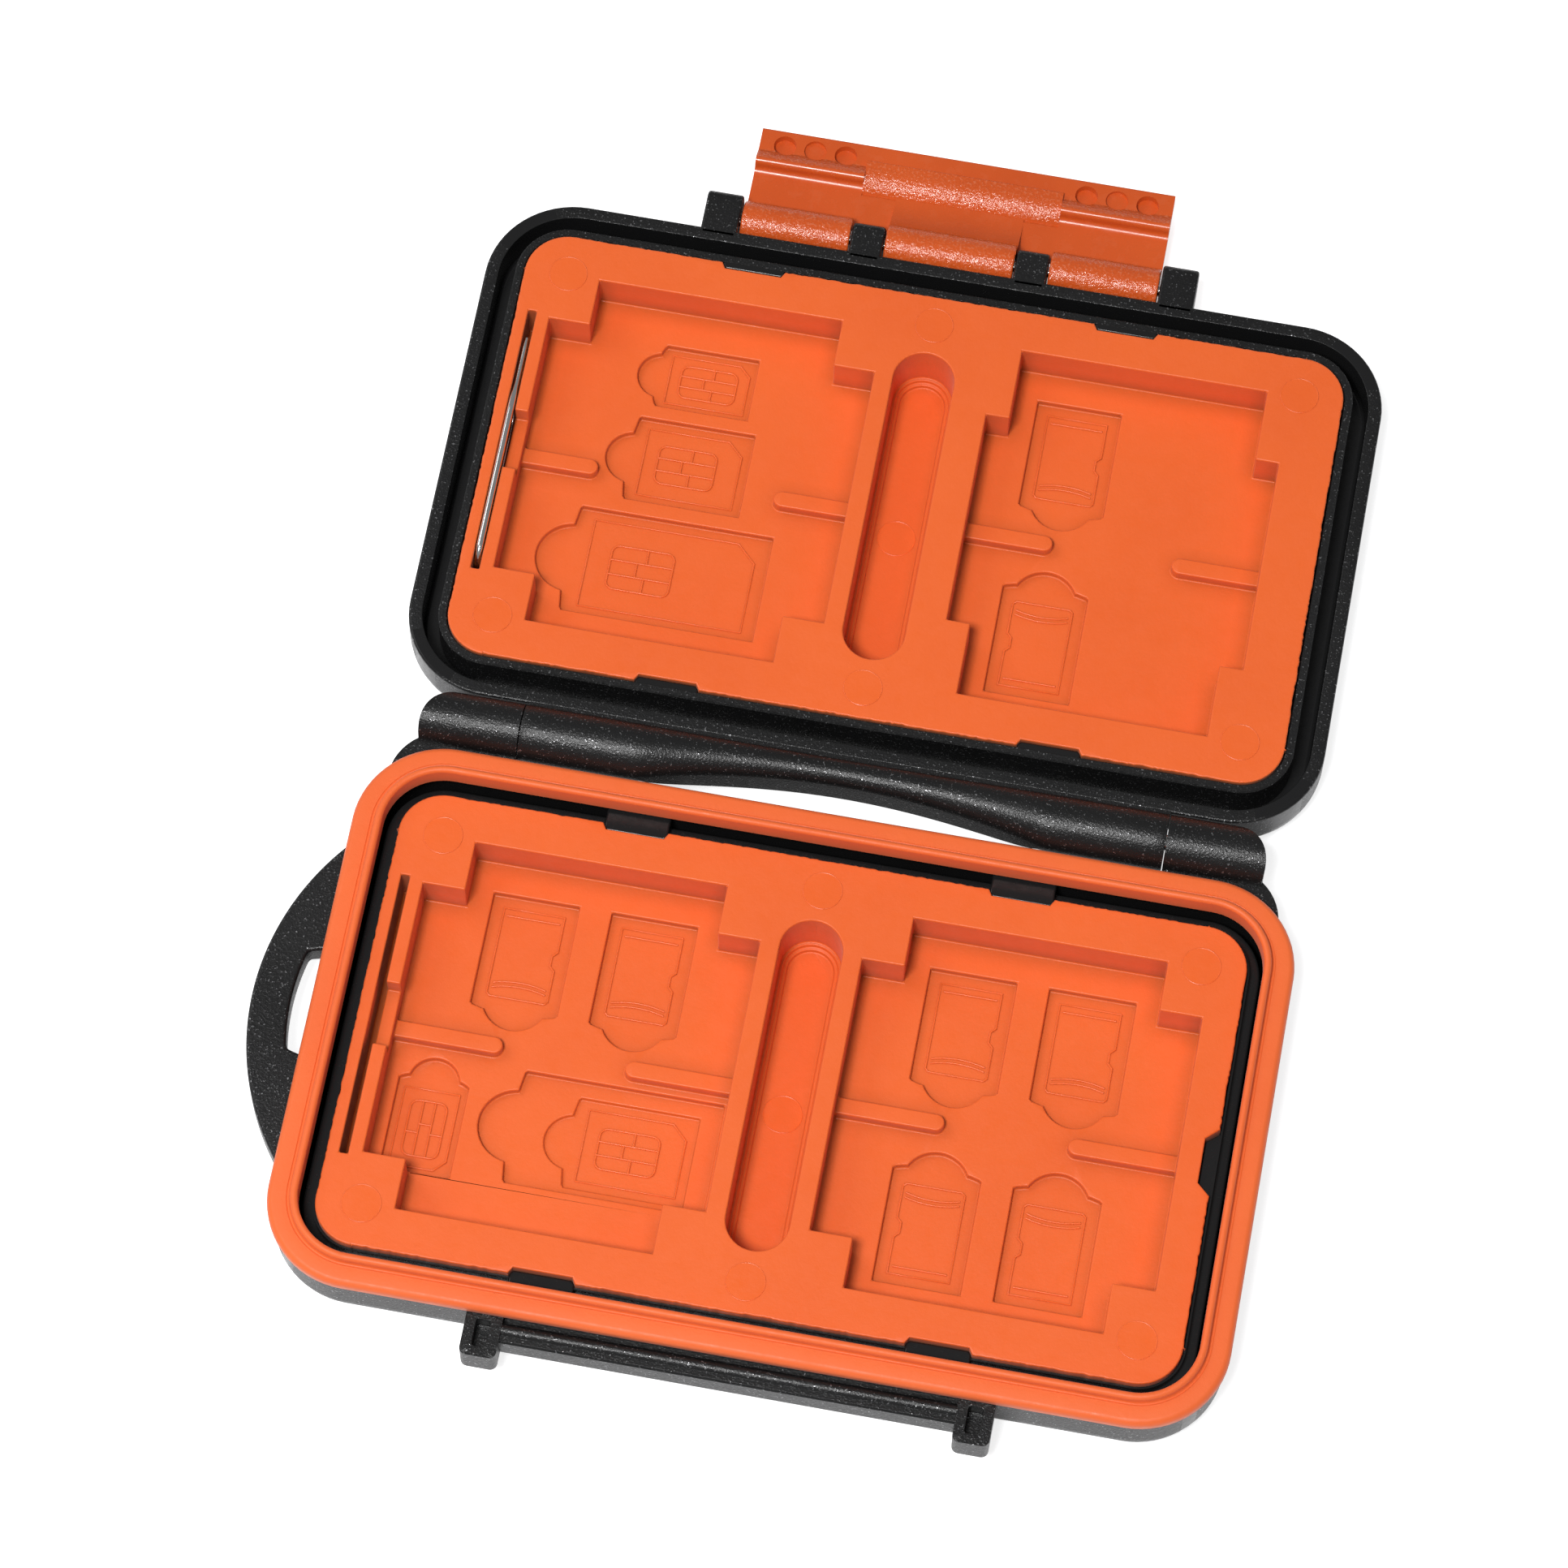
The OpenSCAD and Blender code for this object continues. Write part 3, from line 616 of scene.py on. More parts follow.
def latch_plastic(name, roughness, pebble, pebble_depth, strength, glint_share):
    """Orange plastic; the top of each pebble is paler by the given share, a painted glint that
    stands in for the pebbles' sparkle.
    """
    material, tree, place = new_finish(name, LATCH_ORANGE, roughness)
    pebbles = grain(tree, place, pebble, 2)
    skin = clouded(tree, place, LATCH_CLOUD, 3, LATCH_ORANGE, LATCH_DEEP)
    return surfaced(
        material,
        Base_Color=two_colours(tree, between(tree, pebbles, 0, glint_share, *GLINT_TIP_RANGE), skin, LATCH_GLINT_PALE),
        Roughness=between(tree, pebbles, roughness - 0.04, roughness + 0.08),
        Normal=bumped(tree, pebbles, strength, pebble_depth))


LATCH_SMOOTH = latch_plastic("latch_orange", 0.24, 1.6, 0.02, 0.3, 0.015)
LATCH_PEBBLED = latch_plastic("latch_pebbled", 0.15, 0.38, 0.13, 1.0, 0.14)

# %% Bright wire of the pins
STEEL = (0.9, 0.89, 0.87)
STEEL_DULL = (0.75, 0.74, 0.73)
WIRE_STRETCH = (1, 0.06, 1)
DRAW_LINES = 0.12


def drawn_wire():
    material, tree, place = new_finish("steel", STEEL, 0.2, Metallic=1.0)
    stretch = new_node(tree, "ShaderNodeMapping", {"Vector": place, "Scale": WIRE_STRETCH})
    lines = grain(tree, stretch, DRAW_LINES, 3)
    return surfaced(
        material, Base_Color=two_colours(tree, between(tree, lines, 0, 1), STEEL, STEEL_DULL),
        Roughness=between(tree, lines, 0.1, 0.2), Normal=bumped(tree, lines, 0.3, 0.01))


WIRE = drawn_wire()
print("finishes:", [m.name for m in bpy.data.materials])

# %% [markdown]
# ## The body shell
#
# One section makes the floor's edge, the wall, the rim with its seal groove and the
# glossy inner wall. Two flat faces close the floor. The barrels, catch and lug are
# moulded on.

# %% Body shell wall
FLOOR_T = 1.8
FLOOR_IN = -5.0
TONGUE_OUT = 4.55
TONGUE_W = 1.0
TONGUE_D = 1.5
TONGUE_FIT = 0.05
TONGUE_ROOM = 0.1
CAVITY_ROUND = 2.5
EDGE = 0.35
INNER_EDGE = 0.2


def shell_section():
    points = [(FLOOR_IN, 0)]
    points += arc(SHELL_OUT - BASE_ROUND, BASE_ROUND, BASE_ROUND, -90, 0, 10)
    points += arc(SHELL_OUT - EDGE, RIM_Z - EDGE, EDGE, 0, 90, 3)
    out, low = TONGUE_OUT + TONGUE_FIT, RIM_Z - TONGUE_D - TONGUE_ROOM
    inner = TONGUE_OUT - TONGUE_W - TONGUE_FIT
    points += [(out, RIM_Z), (out, low), (inner, low), (inner, RIM_Z)]
    points += [(WALL_IN + INNER_EDGE, RIM_Z), (WALL_IN, RIM_Z - INNER_EDGE)]
    points += arc(WALL_IN - CAVITY_ROUND, FLOOR_T + CAVITY_ROUND, CAVITY_ROUND, 0, -90, 6)
    return points + [(FLOOR_IN, FLOOR_T)]


body_wall = swept("body_wall", shell_section(), *TRAY_OUTLINE, SHELL_BLACK, closed=False)
print("body wall", len(body_wall.data.polygons), "faces")

# %% The low wall round the tray
TRAY_WALL = 0.3
TRAY_WALL_DROP = 1.0
TRAY_FIT = 0.03
LEDGE_OUT = 1.7
LEDGE_Z = 8.6
LEDGE_ROUND = 0.3


def tray_wall_section():
    """A thin wall against the tray, with a rounded ledge outside it."""
    high = TRAY_TOP - TRAY_WALL_DROP
    points = [(TRAY_FIT, FLOOR_T - 0.2), (LEDGE_OUT, FLOOR_T - 0.2)]
    points += arc(LEDGE_OUT - LEDGE_ROUND, LEDGE_Z - LEDGE_ROUND, LEDGE_ROUND, 0, 90, 4)
    return points + [(TRAY_WALL, LEDGE_Z), (TRAY_WALL, high), (TRAY_FIT, high)]


tray_wall = swept("tray_wall", tray_wall_section(), *TRAY_OUTLINE, SHELL_BLACK)
print("tray wall", len(tray_wall.data.polygons), "faces")

# %% End barrels, with their shoulders
BARREL_IN = 41.45
BARREL_OUT = 54.2
BARREL_ROUND = 6.0
WEB_Z = HINGE_Z - HINGE_R
BODY_BACK = TRAY_HALF_W + SHELL_OUT
BARREL_BACK = HINGE_Y + HINGE_R + 0.1
BARREL_EASE = 0.3
SHOULDER_R = 7.0
SHOULDER_IN = 4.2
SHOULDER_BACK = 8.5


def end_barrel():
    circle = arc(HINGE_Y, HINGE_Z, HINGE_R, 0, 360, 48)[:-1]
    barrel = bar("end_barrel", circle, BARREL_IN, BARREL_OUT)
    plan = [(BARREL_IN, BARREL_BACK - 2 * BARREL_ROUND)]
    plan += arc(BARREL_OUT - BARREL_ROUND, BARREL_BACK - BARREL_ROUND, BARREL_ROUND, -90, 90, 24)
    plan += [(BARREL_IN, BARREL_BACK)]
    barrel = carve(barrel, prism("plan", plan, 0, CUT_TOP), "INTERSECT")
    return eased(barrel, BARREL_EASE)


def shoulder():
    """The block under the end barrel that carries it round the seal's corner."""
    plan = [(BARREL_IN, BODY_BACK - 3)]
    plan += arc(BARREL_OUT - SHOULDER_IN, HINGE_Y - SHOULDER_BACK, SHOULDER_R, -60, 53.5, 16)
    plan += arc(BARREL_OUT - BARREL_ROUND, BARREL_BACK - BARREL_ROUND, BARREL_ROUND, -4, 18, 4)
    plan += [(BARREL_IN, HINGE_Y - 0.4)]
    block = prism("shoulder", plan, WEB_Z, RIM_Z)
    inside = round_plan(*(size + WALL_IN + OVERLAP for size in TRAY_OUTLINE))
    block = carve(block, prism("inside", inside, 0, CUT_TOP), "DIFFERENCE")
    return eased(block, BARREL_EASE, 2)


def mirrored(piece):
    twin = piece.copy()
    twin.data = piece.data.copy()
    bpy.context.scene.collection.objects.link(twin)
    twin.data.transform(Matrix.Scale(-1, 4, (1, 0, 0)))
    twin.data.flip_normals()
    return twin


barrels = [end_barrel(), shoulder()]
barrels += [mirrored(part) for part in barrels]
print("barrels", len(barrels))

# %% [markdown]
# ## The catch
#
# The latch hooks under a bar in front of the body. A rounded lip runs along its top, and
# a bracket with a blind slot closes each end.

# %% Catch bar and brackets
EAR_X = 28.45
EAR_W = 3.9
BRACKET_Y = 41.8
BRACKET_Z = 6.5
BAR_Y = 39.4
BAR_LOW = 6.9
BAR_HIGH = 10.5
LIP_Y = 37.7
LIP_R = 0.9
BAR_RECESS = 1.2
BRACKET_X = 28.25
BRACKET_W = 4.6
BRACKET_SLOT_W = 1.9
BRACKET_SLOT_D = 2.5
BRACKET_SLOT_R = 0.4
BRACKET_FRONT = 1.3
BRACKET_ROUND = 0.9
BRACKET_EASE = 0.28
BAR_EASE = 0.15


def catch_bar():
    low = BAR_HIGH - BAR_RECESS
    section = [(OVERLAP - BODY_BACK, low), (OVERLAP - BODY_BACK, BAR_LOW), (-BAR_Y, BAR_LOW)]
    section += [(-BAR_Y, BAR_HIGH - 0.25), (-BAR_Y + 0.25, BAR_HIGH), (-LIP_Y - 0.75, BAR_HIGH)]
    section += arc(-LIP_Y, RIM_Z - LIP_R, LIP_R, 150, 0, 10)
    section += [(-LIP_Y + LIP_R, low)]
    return eased(bar("catch_bar", section, -EAR_X - 0.5, EAR_X + 0.5), BAR_EASE, 2)


def bracket():
    front = -BRACKET_Y
    back = OVERLAP - BODY_BACK
    far = BRACKET_X + BRACKET_W
    r = BRACKET_ROUND
    plan = [(BRACKET_X, back)]
    plan += arc(BRACKET_X + r, front + r, r, 180, 270, 6)
    plan += arc(far - r, front + r, r, 270, 360, 6)
    plan += [(far, back)]
    slot_l = BRACKET_Y - BRACKET_FRONT - BODY_BACK - OVERLAP
    slot_y = front + BRACKET_FRONT + slot_l / 2
    slot = round_plan(BRACKET_SLOT_W / 2, slot_l / 2, BRACKET_SLOT_R, 4)
    slot = shifted(slot, BRACKET_X + BRACKET_W / 2, slot_y)
    block = relief("bracket", [(plan, RIM_Z), (slot, RIM_Z - BRACKET_SLOT_D)], BRACKET_Z)
    return eased(block, BRACKET_EASE)


brackets = [bracket()]
brackets.append(mirrored(brackets[0]))
catch = catch_bar()
print("catch bar from", -EAR_X, "to", EAR_X)

# %% Strap lug, a half moon with its slot
LUG_R = 34.3
LUG_X = -33.3
LUG_T = 3.5
LUG_RIM = 5.0
STRAP_L = 14.4
STRAP_GAP = 0.1
LUG_EASE = 0.45


def strap_lug():
    wall_x = OVERLAP - (TRAY_HALF_L + SHELL_OUT)
    swing = math.degrees(math.acos((LUG_X - wall_x) / LUG_R))
    plan = arc(LUG_X, 0, LUG_R, 180 - swing, 180 + swing, 60)
    inner = LUG_R - LUG_RIM
    tilt = math.degrees(math.asin((STRAP_L / 2 - 0.6) / inner))
    slot_x = -(TRAY_HALF_L + SHELL_OUT) - STRAP_GAP
    slot = [(slot_x, STRAP_L / 2)]
    slot += arc(LUG_X, 0, inner, 180 - tilt, 180 + tilt, 16)
    slot += [(slot_x, -STRAP_L / 2)]
    block = relief("strap_lug", [(plan, RIM_Z), (slot, None)], RIM_Z - LUG_T)
    return eased(block, LUG_EASE)


lug = strap_lug()
print("strap lug", len(lug.data.polygons), "faces")

# %% Tabs that hold the tray, and the whole body shell
NOTCH_L = 8.4
NOTCH_D = 0.9
NOTCH_X = 24.7
TAB_DROP = 0.8
TAB_FIT = 0.1
TAB_CORNER = (0.5, 0.4)
TAB_EASE = 0.3
FLOOR_FACES = 0.5
FACE_SLACK = 0.02
SUNK = 0.3
LEDGE_EASE = 0.2
FINGER_Y = -0.45
FINGER_L = 8.9
FINGER_D = 1.7
FINGER_RAMP = 1.5


def tray_tabs(name, outer, top, centre_y):
    tab_in = TRAY_HALF_W - NOTCH_D + TAB_FIT
    half = NOTCH_L / 2 - TAB_FIT
    along, across = TAB_CORNER
    outline = [(-half, TRAY_HALF_W + outer), (-half, tab_in + across), (-half + along, tab_in)]
    outline += [(-u, v) for u, v in reversed(outline)]
    tabs = []
    for x in (-NOTCH_X, NOTCH_X):
        for side in (-1, 1):
            plan = [(x + u, centre_y + side * v) for u, v in outline]
            tabs.append(eased(prism(name, plan, FLOOR_T - SUNK, top), TAB_EASE, angle=50))
    return tabs


def finger_ledge():
    """The ledge under the finger notch in the tray's right end."""
    near = TRAY_HALF_L + 0.2
    far = TRAY_HALF_L - FINGER_D + TAB_FIT
    half = FINGER_L / 2 - TAB_FIT
    plan = [(near, FINGER_Y - half), (near, FINGER_Y + half),
            (far, FINGER_Y + half - FINGER_RAMP), (far, FINGER_Y - half + FINGER_RAMP)]
    ledge = prism("finger_ledge", plan, FLOOR_T - SUNK, TRAY_TOP - TRAY_WALL_DROP)
    return eased(ledge, LEDGE_EASE, 2, 35)


body_tabs = tray_tabs("body_tab", WALL_IN + 0.5, TRAY_TOP - TAB_DROP, 0)
body_tabs.append(finger_ledge())
for part in (tray_wall, *body_tabs):
    coated(part, 1)


def within(centre_y, reach):
    """A test for faces above the floor, within the reach of the tray's outline."""
    def test(centre, normal):
        along = abs(centre.x) < TRAY_HALF_L + reach + FACE_SLACK
        across = abs(centre.y - centre_y) < TRAY_HALF_W + reach + FACE_SLACK
        return centre.z > FLOOR_FACES and along and across

    return test


coated(body_wall, 1, within(0, WALL_IN))
body_shell = joined("BodyShell", [
    body_wall, tray_wall, catch, lug, *barrels, *brackets, *body_tabs])
finished(body_shell, "body", "body_shell", "shell_black", SHELL_BLACK, CHANNEL_BLACK)

# %% [markdown]
# ## The seal
#
# The seal is one rubber section all round: a wide, softly crowned band, a thin groove and
# a raised bead that the lid's rim closes round. A tongue underneath sits in the shell's
# rim. The same sweep carries it.

# %% Seal
SEAL_IN = 1.9
SEAL_OUT = 5.8
SEAL_TOP = 12.9
BEAD_TOP = 13.9
BEAD_W = 1.0
SEAL_ROUND = 0.9
SEAL_GROOVE = 0.16


def seal_section():
    crown = SEAL_TOP - 0.04
    points = arc(SEAL_OUT - SEAL_ROUND, crown - SEAL_ROUND, SEAL_ROUND, 0, 84, 7)
    points += [(SEAL_OUT - 1.7, SEAL_TOP), (SEAL_IN + BEAD_W + 0.75, SEAL_TOP - 0.02)]
    groove = SEAL_IN + BEAD_W + 0.3
    points += arc(groove, SEAL_TOP + 0.06, SEAL_GROOVE + 0.06, -20, -160, 5)
    points += [(SEAL_IN + BEAD_W, SEAL_TOP + 0.1)]
    points += arc(SEAL_IN + BEAD_W / 2, BEAD_TOP - BEAD_W / 2, BEAD_W / 2, 0, 180, 8)
    points += [
        (SEAL_IN, RIM_Z), (TONGUE_OUT - TONGUE_W, RIM_Z),
        (TONGUE_OUT - TONGUE_W, RIM_Z - TONGUE_D), (TONGUE_OUT, RIM_Z - TONGUE_D),
        (TONGUE_OUT, RIM_Z), (SEAL_OUT - 0.25, RIM_Z), (SEAL_OUT, RIM_Z + 0.25),
    ]
    return points


seal = swept("Gasket", seal_section(), *TRAY_OUTLINE, SEAL_RUBBER)
finished(seal, "body", "gasket", "gasket_orange", SEAL_RUBBER, angle=50)

# %% [markdown]
# ## The trays
#
# A tray is a block of rubber with things sunk in it. Its plan is cut into cells by all the
# outlines together, each cell gets a height, and walls join cells of different heights.
# That stays one closed mesh, so a bevel can then soften every edge. The rim of the real
# tray is a little ragged where the mould's flash was torn off, so its outline wanders.

# %% A torn outline
RAG_STEP = 0.42
RAG_DEPTH = 0.28
RAG_PULL = 0.25
NOTCH_RAMP = 0.5
NOTCH_LIP = 0.05


def ragged_side(start, end, notches, rng):
    """Points from start to end, pulled inwards a little, with the notches cut in."""
    run = math.dist(start, end)
    along = ((end[0] - start[0]) / run, (end[1] - start[1]) / run)
    inward = (-along[1], along[0])

    def at(distance, depth):
        return tuple(start[i] + along[i] * distance + inward[i] * depth for i in (0, 1))

    points = []
    slow = rng.uniform(0, RAG_DEPTH)
    distance = 0.0
    for first, last, depth, ramp in sorted(notches) + [(run + 9, run + 9, 0, 0)]:
        while distance < min(run, first - RAG_STEP / 2):
            slow += RAG_PULL * (rng.uniform(0, RAG_DEPTH) - slow)
            points.append(at(distance, slow * rng.uniform(0.2, 1.0)))
            distance += RAG_STEP * rng.uniform(0.7, 1.3)
        if first < run:
            points += [at(first, NOTCH_LIP), at(first + ramp, depth)]
            points += [at(last - ramp, depth), at(last, NOTCH_LIP)]
            distance = last + RAG_STEP
    return points


def tray_plan(centre_y, seed, finger_notch):
    """The tray's torn outline, side by side from the front, with its notches."""
    rng = random.Random(seed)
    l, w = TRAY_HALF_L, TRAY_HALF_W
    in_l, in_w = l - TRAY_CORNER, w - TRAY_CORNER
    pair = [
        (in_l + sign * NOTCH_X - NOTCH_L / 2, in_l + sign * NOTCH_X + NOTCH_L / 2,
         NOTCH_D, NOTCH_RAMP)
        for sign in (-1, 1)
    ]
    right = []
    if finger_notch:
        middle = in_w + FINGER_Y
        half = FINGER_L / 2
        right = [(middle - half, middle + half, FINGER_D, FINGER_RAMP)]
    sides = [
        ((-in_l, -w), (in_l, -w), pair, (in_l, -in_w)),
        ((l, -in_w), (l, in_w), right, (in_l, in_w)),
        ((in_l, w), (-in_l, w), pair, (-in_l, in_w)),
        ((-l, in_w), (-l, -in_w), [], (-in_l, -in_w)),
    ]
    points = []
    for quarter, (start, end, notches, centre) in enumerate(sides):
        points += ragged_side(start, end, notches, rng)
        r = TRAY_CORNER - NOTCH_LIP
        points += arc(*centre, r, 90 * quarter - 90, 90 * quarter, 12)
    return shifted(points, 0, centre_y)


# %% Sizes of the pockets, nests, trough and pin slot
POCKET_X = 28.05
POCKET_D = 5.6
WIDE_CARD = (43.1, 36.5)
MID_CARD = (38.4, 29.8)
TALL_WELL = (32.3, 49.7)
RIB_W = 2.2
RIB_H = 1.5
NEST_D = 0.9
INNER_NEST_D = 0.5
NEST_SHOULDER = 0.55
TRAY_EASE = 0.22
TROUGH_L = 44.4
TROUGH_W = 8.0
TROUGH_D = 8.0
TROUGH_STEP = 0.5
SLOT_L = 37.8
SLOT_W = 1.1
SLOT_WALL = 1.8
SLOT_D = 5.9
DIP_L = 8.3
DIP_D = 2.6
DIP_Y = 0.15
SLOT_X = POCKET_X + WIDE_CARD[0] / 2 + SLOT_WALL + SLOT_W / 2
MICRO_CARD = (15.1, 11.1, 4.2, 2.9)
NANO_SIM = (12.2, 8.9, 3.2, 3.2)
MICRO_SIM = (15.1, 12.0, 3.6, 3.6)
MINI_SIM = (25.1, 15.0, 4.8, 4.8)
print("pin slots at x =", -SLOT_X)

# %% What is sunk in a tray
def pocket(cx, cy, card, top):
    floor = top - POCKET_D
    return [
        (box_plan(cx, cy, *card), floor),
        (box_plan(cx, cy, *TALL_WELL), floor),
    ]


def ribs(cx, cy, card_l, gap, top):
    height = top - POCKET_D + RIB_H
    regions = []
    for side, turn in ((1, 90), (-1, -90)):
        tip = (cx + side * (gap + RIB_W / 2), cy)
        end_x = cx + side * card_l / 2
        outline = arc(*tip, RIB_W / 2, turn, turn + 180, 10)
        outline += [(end_x, cy - side * RIB_W / 2), (end_x, cy + side * RIB_W / 2)]
        regions.append((outline, height))
    return regions


def turned(points, cx, cy, degrees):
    c, s = math.cos(math.radians(degrees)), math.sin(math.radians(degrees))
    return [(cx + x * c - y * s, cy + x * s + y * c) for x, y in points]


def nest(cx, cy, kind, facing, top, deeper=0.0):
    """A card's nest with its round thumb notch on the side that it faces."""
    l, w, thumb_r, reach = kind
    centre = l / 2 + reach - thumb_r
    open_by = math.degrees(math.acos((l / 2 + NEST_SHOULDER - centre) / thumb_r))
    half = thumb_r * math.sin(math.radians(open_by))
    side = [(l / 2, w / 2), (l / 2 + 0.25, w / 2 - 0.3), (l / 2 + NEST_SHOULDER, half + 0.3)]
    outline = [(-l / 2, -w / 2)] + [(x, -y) for x, y in side]
    outline += arc(centre, 0, thumb_r, -open_by, open_by, 20)
    outline += list(reversed(side)) + [(-l / 2, w / 2)]
    return [(turned(outline, cx, cy, facing), top - POCKET_D - NEST_D - deeper)]


def trough(cy, top):
    """A finger's trough, which narrows in two small steps to its floor."""
    regions = []
    for step in range(3):
        half_w = TROUGH_W / 2 - step * TROUGH_STEP
        plan = round_plan(half_w, TROUGH_L / 2 - step * TROUGH_STEP, half_w - 0.001, 10)
        regions.append((shifted(plan, 0, cy), top - TROUGH_D + (2 - step) * TROUGH_STEP))
    return regions


def dip(cy, top):
    left = -SLOT_X
    right = -SLOT_X + SLOT_W / 2 + SLOT_WALL + 1
    return [(box_plan((left + right) / 2, cy + DIP_Y, right - left, DIP_L), top - DIP_D)]


def pin_slot(cy, top):
    return [(box_plan(-SLOT_X, cy, SLOT_W, SLOT_L), top - SLOT_D)]


# %% Where the nests are
CARD_COLUMN = 7.6
UPPER_ROW = 13.3
LOWER_ROW = 13.8
RIB_GAP = 7.8
SIM_RIB_GAP = 11.6
UP, DOWN, LEFT = 90, -90, 180

body_nests = []
for column in (-CARD_COLUMN, CARD_COLUMN):
    body_nests.append((-POCKET_X + column, UPPER_ROW, MICRO_CARD, DOWN, 0))
    body_nests.append((POCKET_X + column, UPPER_ROW, MICRO_CARD, DOWN, 0))
    body_nests.append((POCKET_X + column, -LOWER_ROW, MICRO_CARD, UP, 0))
body_nests += [
    (-POCKET_X - 15.45, -11.8, NANO_SIM, UP, 0),
    (-POCKET_X + 8.35, -9.6, MINI_SIM, LEFT, 0),
    (-POCKET_X + 10.6, -10.1, MICRO_SIM, LEFT, INNER_NEST_D),
]
lid_nests = [
    (-POCKET_X, LID_Y + 15.45, NANO_SIM, LEFT, 0),
    (-POCKET_X, LID_Y + 3.05, MICRO_SIM, LEFT, 0),
    (-POCKET_X, LID_Y - 12.55, MINI_SIM, LEFT, 0),
    (POCKET_X - CARD_COLUMN, LID_Y + UPPER_ROW, MICRO_CARD, DOWN, 0),
    (POCKET_X - CARD_COLUMN, LID_Y - LOWER_ROW, MICRO_CARD, UP, 0),
]


def tray(name, cy, top, seed, cards, gaps, nests, finger_notch):
    regions = [(tray_plan(cy, seed, finger_notch), top)]
    regions += dip(cy, top)
    regions += pin_slot(cy, top) + trough(cy, top)
    for side, card, gap in zip((-1, 1), cards, gaps):
        regions += pocket(side * POCKET_X, cy, card, top)
        regions += ribs(side * POCKET_X, cy, card[0], gap, top)
    for cx, nest_y, kind, facing, deeper in nests:
        regions += nest(cx, nest_y, kind, facing, top, deeper)
    return eased(relief(name, regions, TRAY_FOOT), TRAY_EASE, 3, 66, clamp=False)


body_tray = tray("BodyTray", 0, TRAY_TOP, 11, (WIDE_CARD, WIDE_CARD), (RIB_GAP, RIB_GAP),
                 body_nests, True)
finished(body_tray, "body", "body_tray", "tray_orange", TRAY_RUBBER)
lid_tray = tray("LidTray", LID_Y, LID_TRAY_TOP, 23, (WIDE_CARD, MID_CARD),
                (SIM_RIB_GAP, RIB_GAP), lid_nests, False)
finished(lid_tray, "lid", "lid_tray", "tray_orange", TRAY_RUBBER)

# %% [markdown]
# ### Marks in the rubber
#
# The mould leaves a disc wherever an ejector pushed the tray out, and each nest shows the
# card that belongs in it as fine raised lines. Both repeat, so node trees set them out on
# points.

# %% Ejector marks
EJECTOR_R = 2.45
EJECTOR_RISE = 0.05
EJECTOR_LINE = 0.07
EJECTOR_X, EJECTOR_Y, MIDDLE_EJECTOR_Y = 48.4, 25.0, 26.35
TROUGH_EJECTOR_Y = -1.1


def ejector_marks(name, cy, top, body):
    places = [(sx * EJECTOR_X, cy + sy * EJECTOR_Y, top, 0) for sx in (-1, 1) for sy in (-1, 1)]
    places += [(0, cy + sy * MIDDLE_EJECTOR_Y, top, 0) for sy in (-1, 1)]
    places.append((0, cy + TROUGH_EJECTOR_Y, top - TROUGH_D, 0))
    marks = marked(name, DISCS, places, {
        "Radius": EJECTOR_R * MM, "Height": 2 * EJECTOR_RISE * MM, "Line": EJECTOR_LINE * MM,
        "Material": MARK_RUBBER,
    })
    finished(marks, body, None, "tray_orange", MARK_RUBBER)


ejector_marks("BodyEjectorMarks", 0, TRAY_TOP, "body")
ejector_marks("LidEjectorMarks", LID_Y, LID_TRAY_TOP, "lid")

# %% Raised drawings of the cards
LINE_R = 0.14
PAD_STAGGER = 0.6


def card_strokes():
    """A small card seen flat, its contacts' edge as two arcs near the thumb's end."""
    outline = [(-6, -3.9), (5.6, -3.9), (6, -3.5), (6, 3.5), (5.6, 3.9), (1.4, 3.9),
               (0.8, 3.3), (-0.6, 3.3), (-1.2, 3.9), (-6, 3.9)]
    strokes = [(outline, True), ([(-5.0, -3.4), (-5.0, 3.4)], False)]
    for x in (3.7, 4.3):
        strokes.append((arc(x + 12, 0, 12, 163.5, 196.5, 12), False))
    return strokes


def sim_strokes(l, w, pad_x, pad_l, pad_w):
    """A SIM with its cut corner, and its contact pad in three staggered rows."""
    cut = w * 0.2
    outline = [(-l / 2 + cut, -w / 2), (l / 2, -w / 2), (l / 2, w / 2), (-l / 2, w / 2),
               (-l / 2, -w / 2 + cut)]
    pad = shifted(round_plan(pad_l / 2, pad_w / 2, 1.0, 5), pad_x, 0)
    strokes = [(outline, True), (pad, True)]
    for row, across in ((-1, -PAD_STAGGER), (0, PAD_STAGGER), (1, -PAD_STAGGER)):
        low, high = (row - 0.5) * pad_w / 3, (row + 0.5) * pad_w / 3
        strokes.append(([(pad_x + across, low), (pad_x + across, high)], False))
        if row < 1:
            strokes.append(([(pad_x - pad_l / 2, high), (pad_x + pad_l / 2, high)], False))
    return strokes


NEST_DRAWINGS = {
    "Card": (MICRO_CARD, card_strokes()),
    "NanoSim": (NANO_SIM, sim_strokes(10.4, 7.0, 0, 7.4, 4.6)),
    "MicroSim": (MICRO_SIM, sim_strokes(12.6, 9.6, 0.6, 7.6, 5.4)),
    "MiniSim": (MINI_SIM, sim_strokes(21.4, 12.4, 3.6, 8.2, 6.2)),
}


def nest_marks(prefix, nests, top, body, skipped=()):
    for title, (kind, flat_strokes) in NEST_DRAWINGS.items():
        strokes = [([(x, y, 0) for x, y in points], closed) for points, closed in flat_strokes]
        places = [
            (x, y, top - POCKET_D - NEST_D - deeper + LINE_R / 4, facing)
            for x, y, nest_kind, facing, deeper in nests
            if nest_kind == kind and title not in skipped
        ]
        if places:
            name = prefix + title + "Marks"
            marks = marked(name, LINES, places,
                           {"Line": LINE_R * MM, "Material": MARK_RUBBER},
                           poly_curve(name + "_drawing", strokes))
            finished(marks, body, None, "tray_orange", MARK_RUBBER, angle=60)


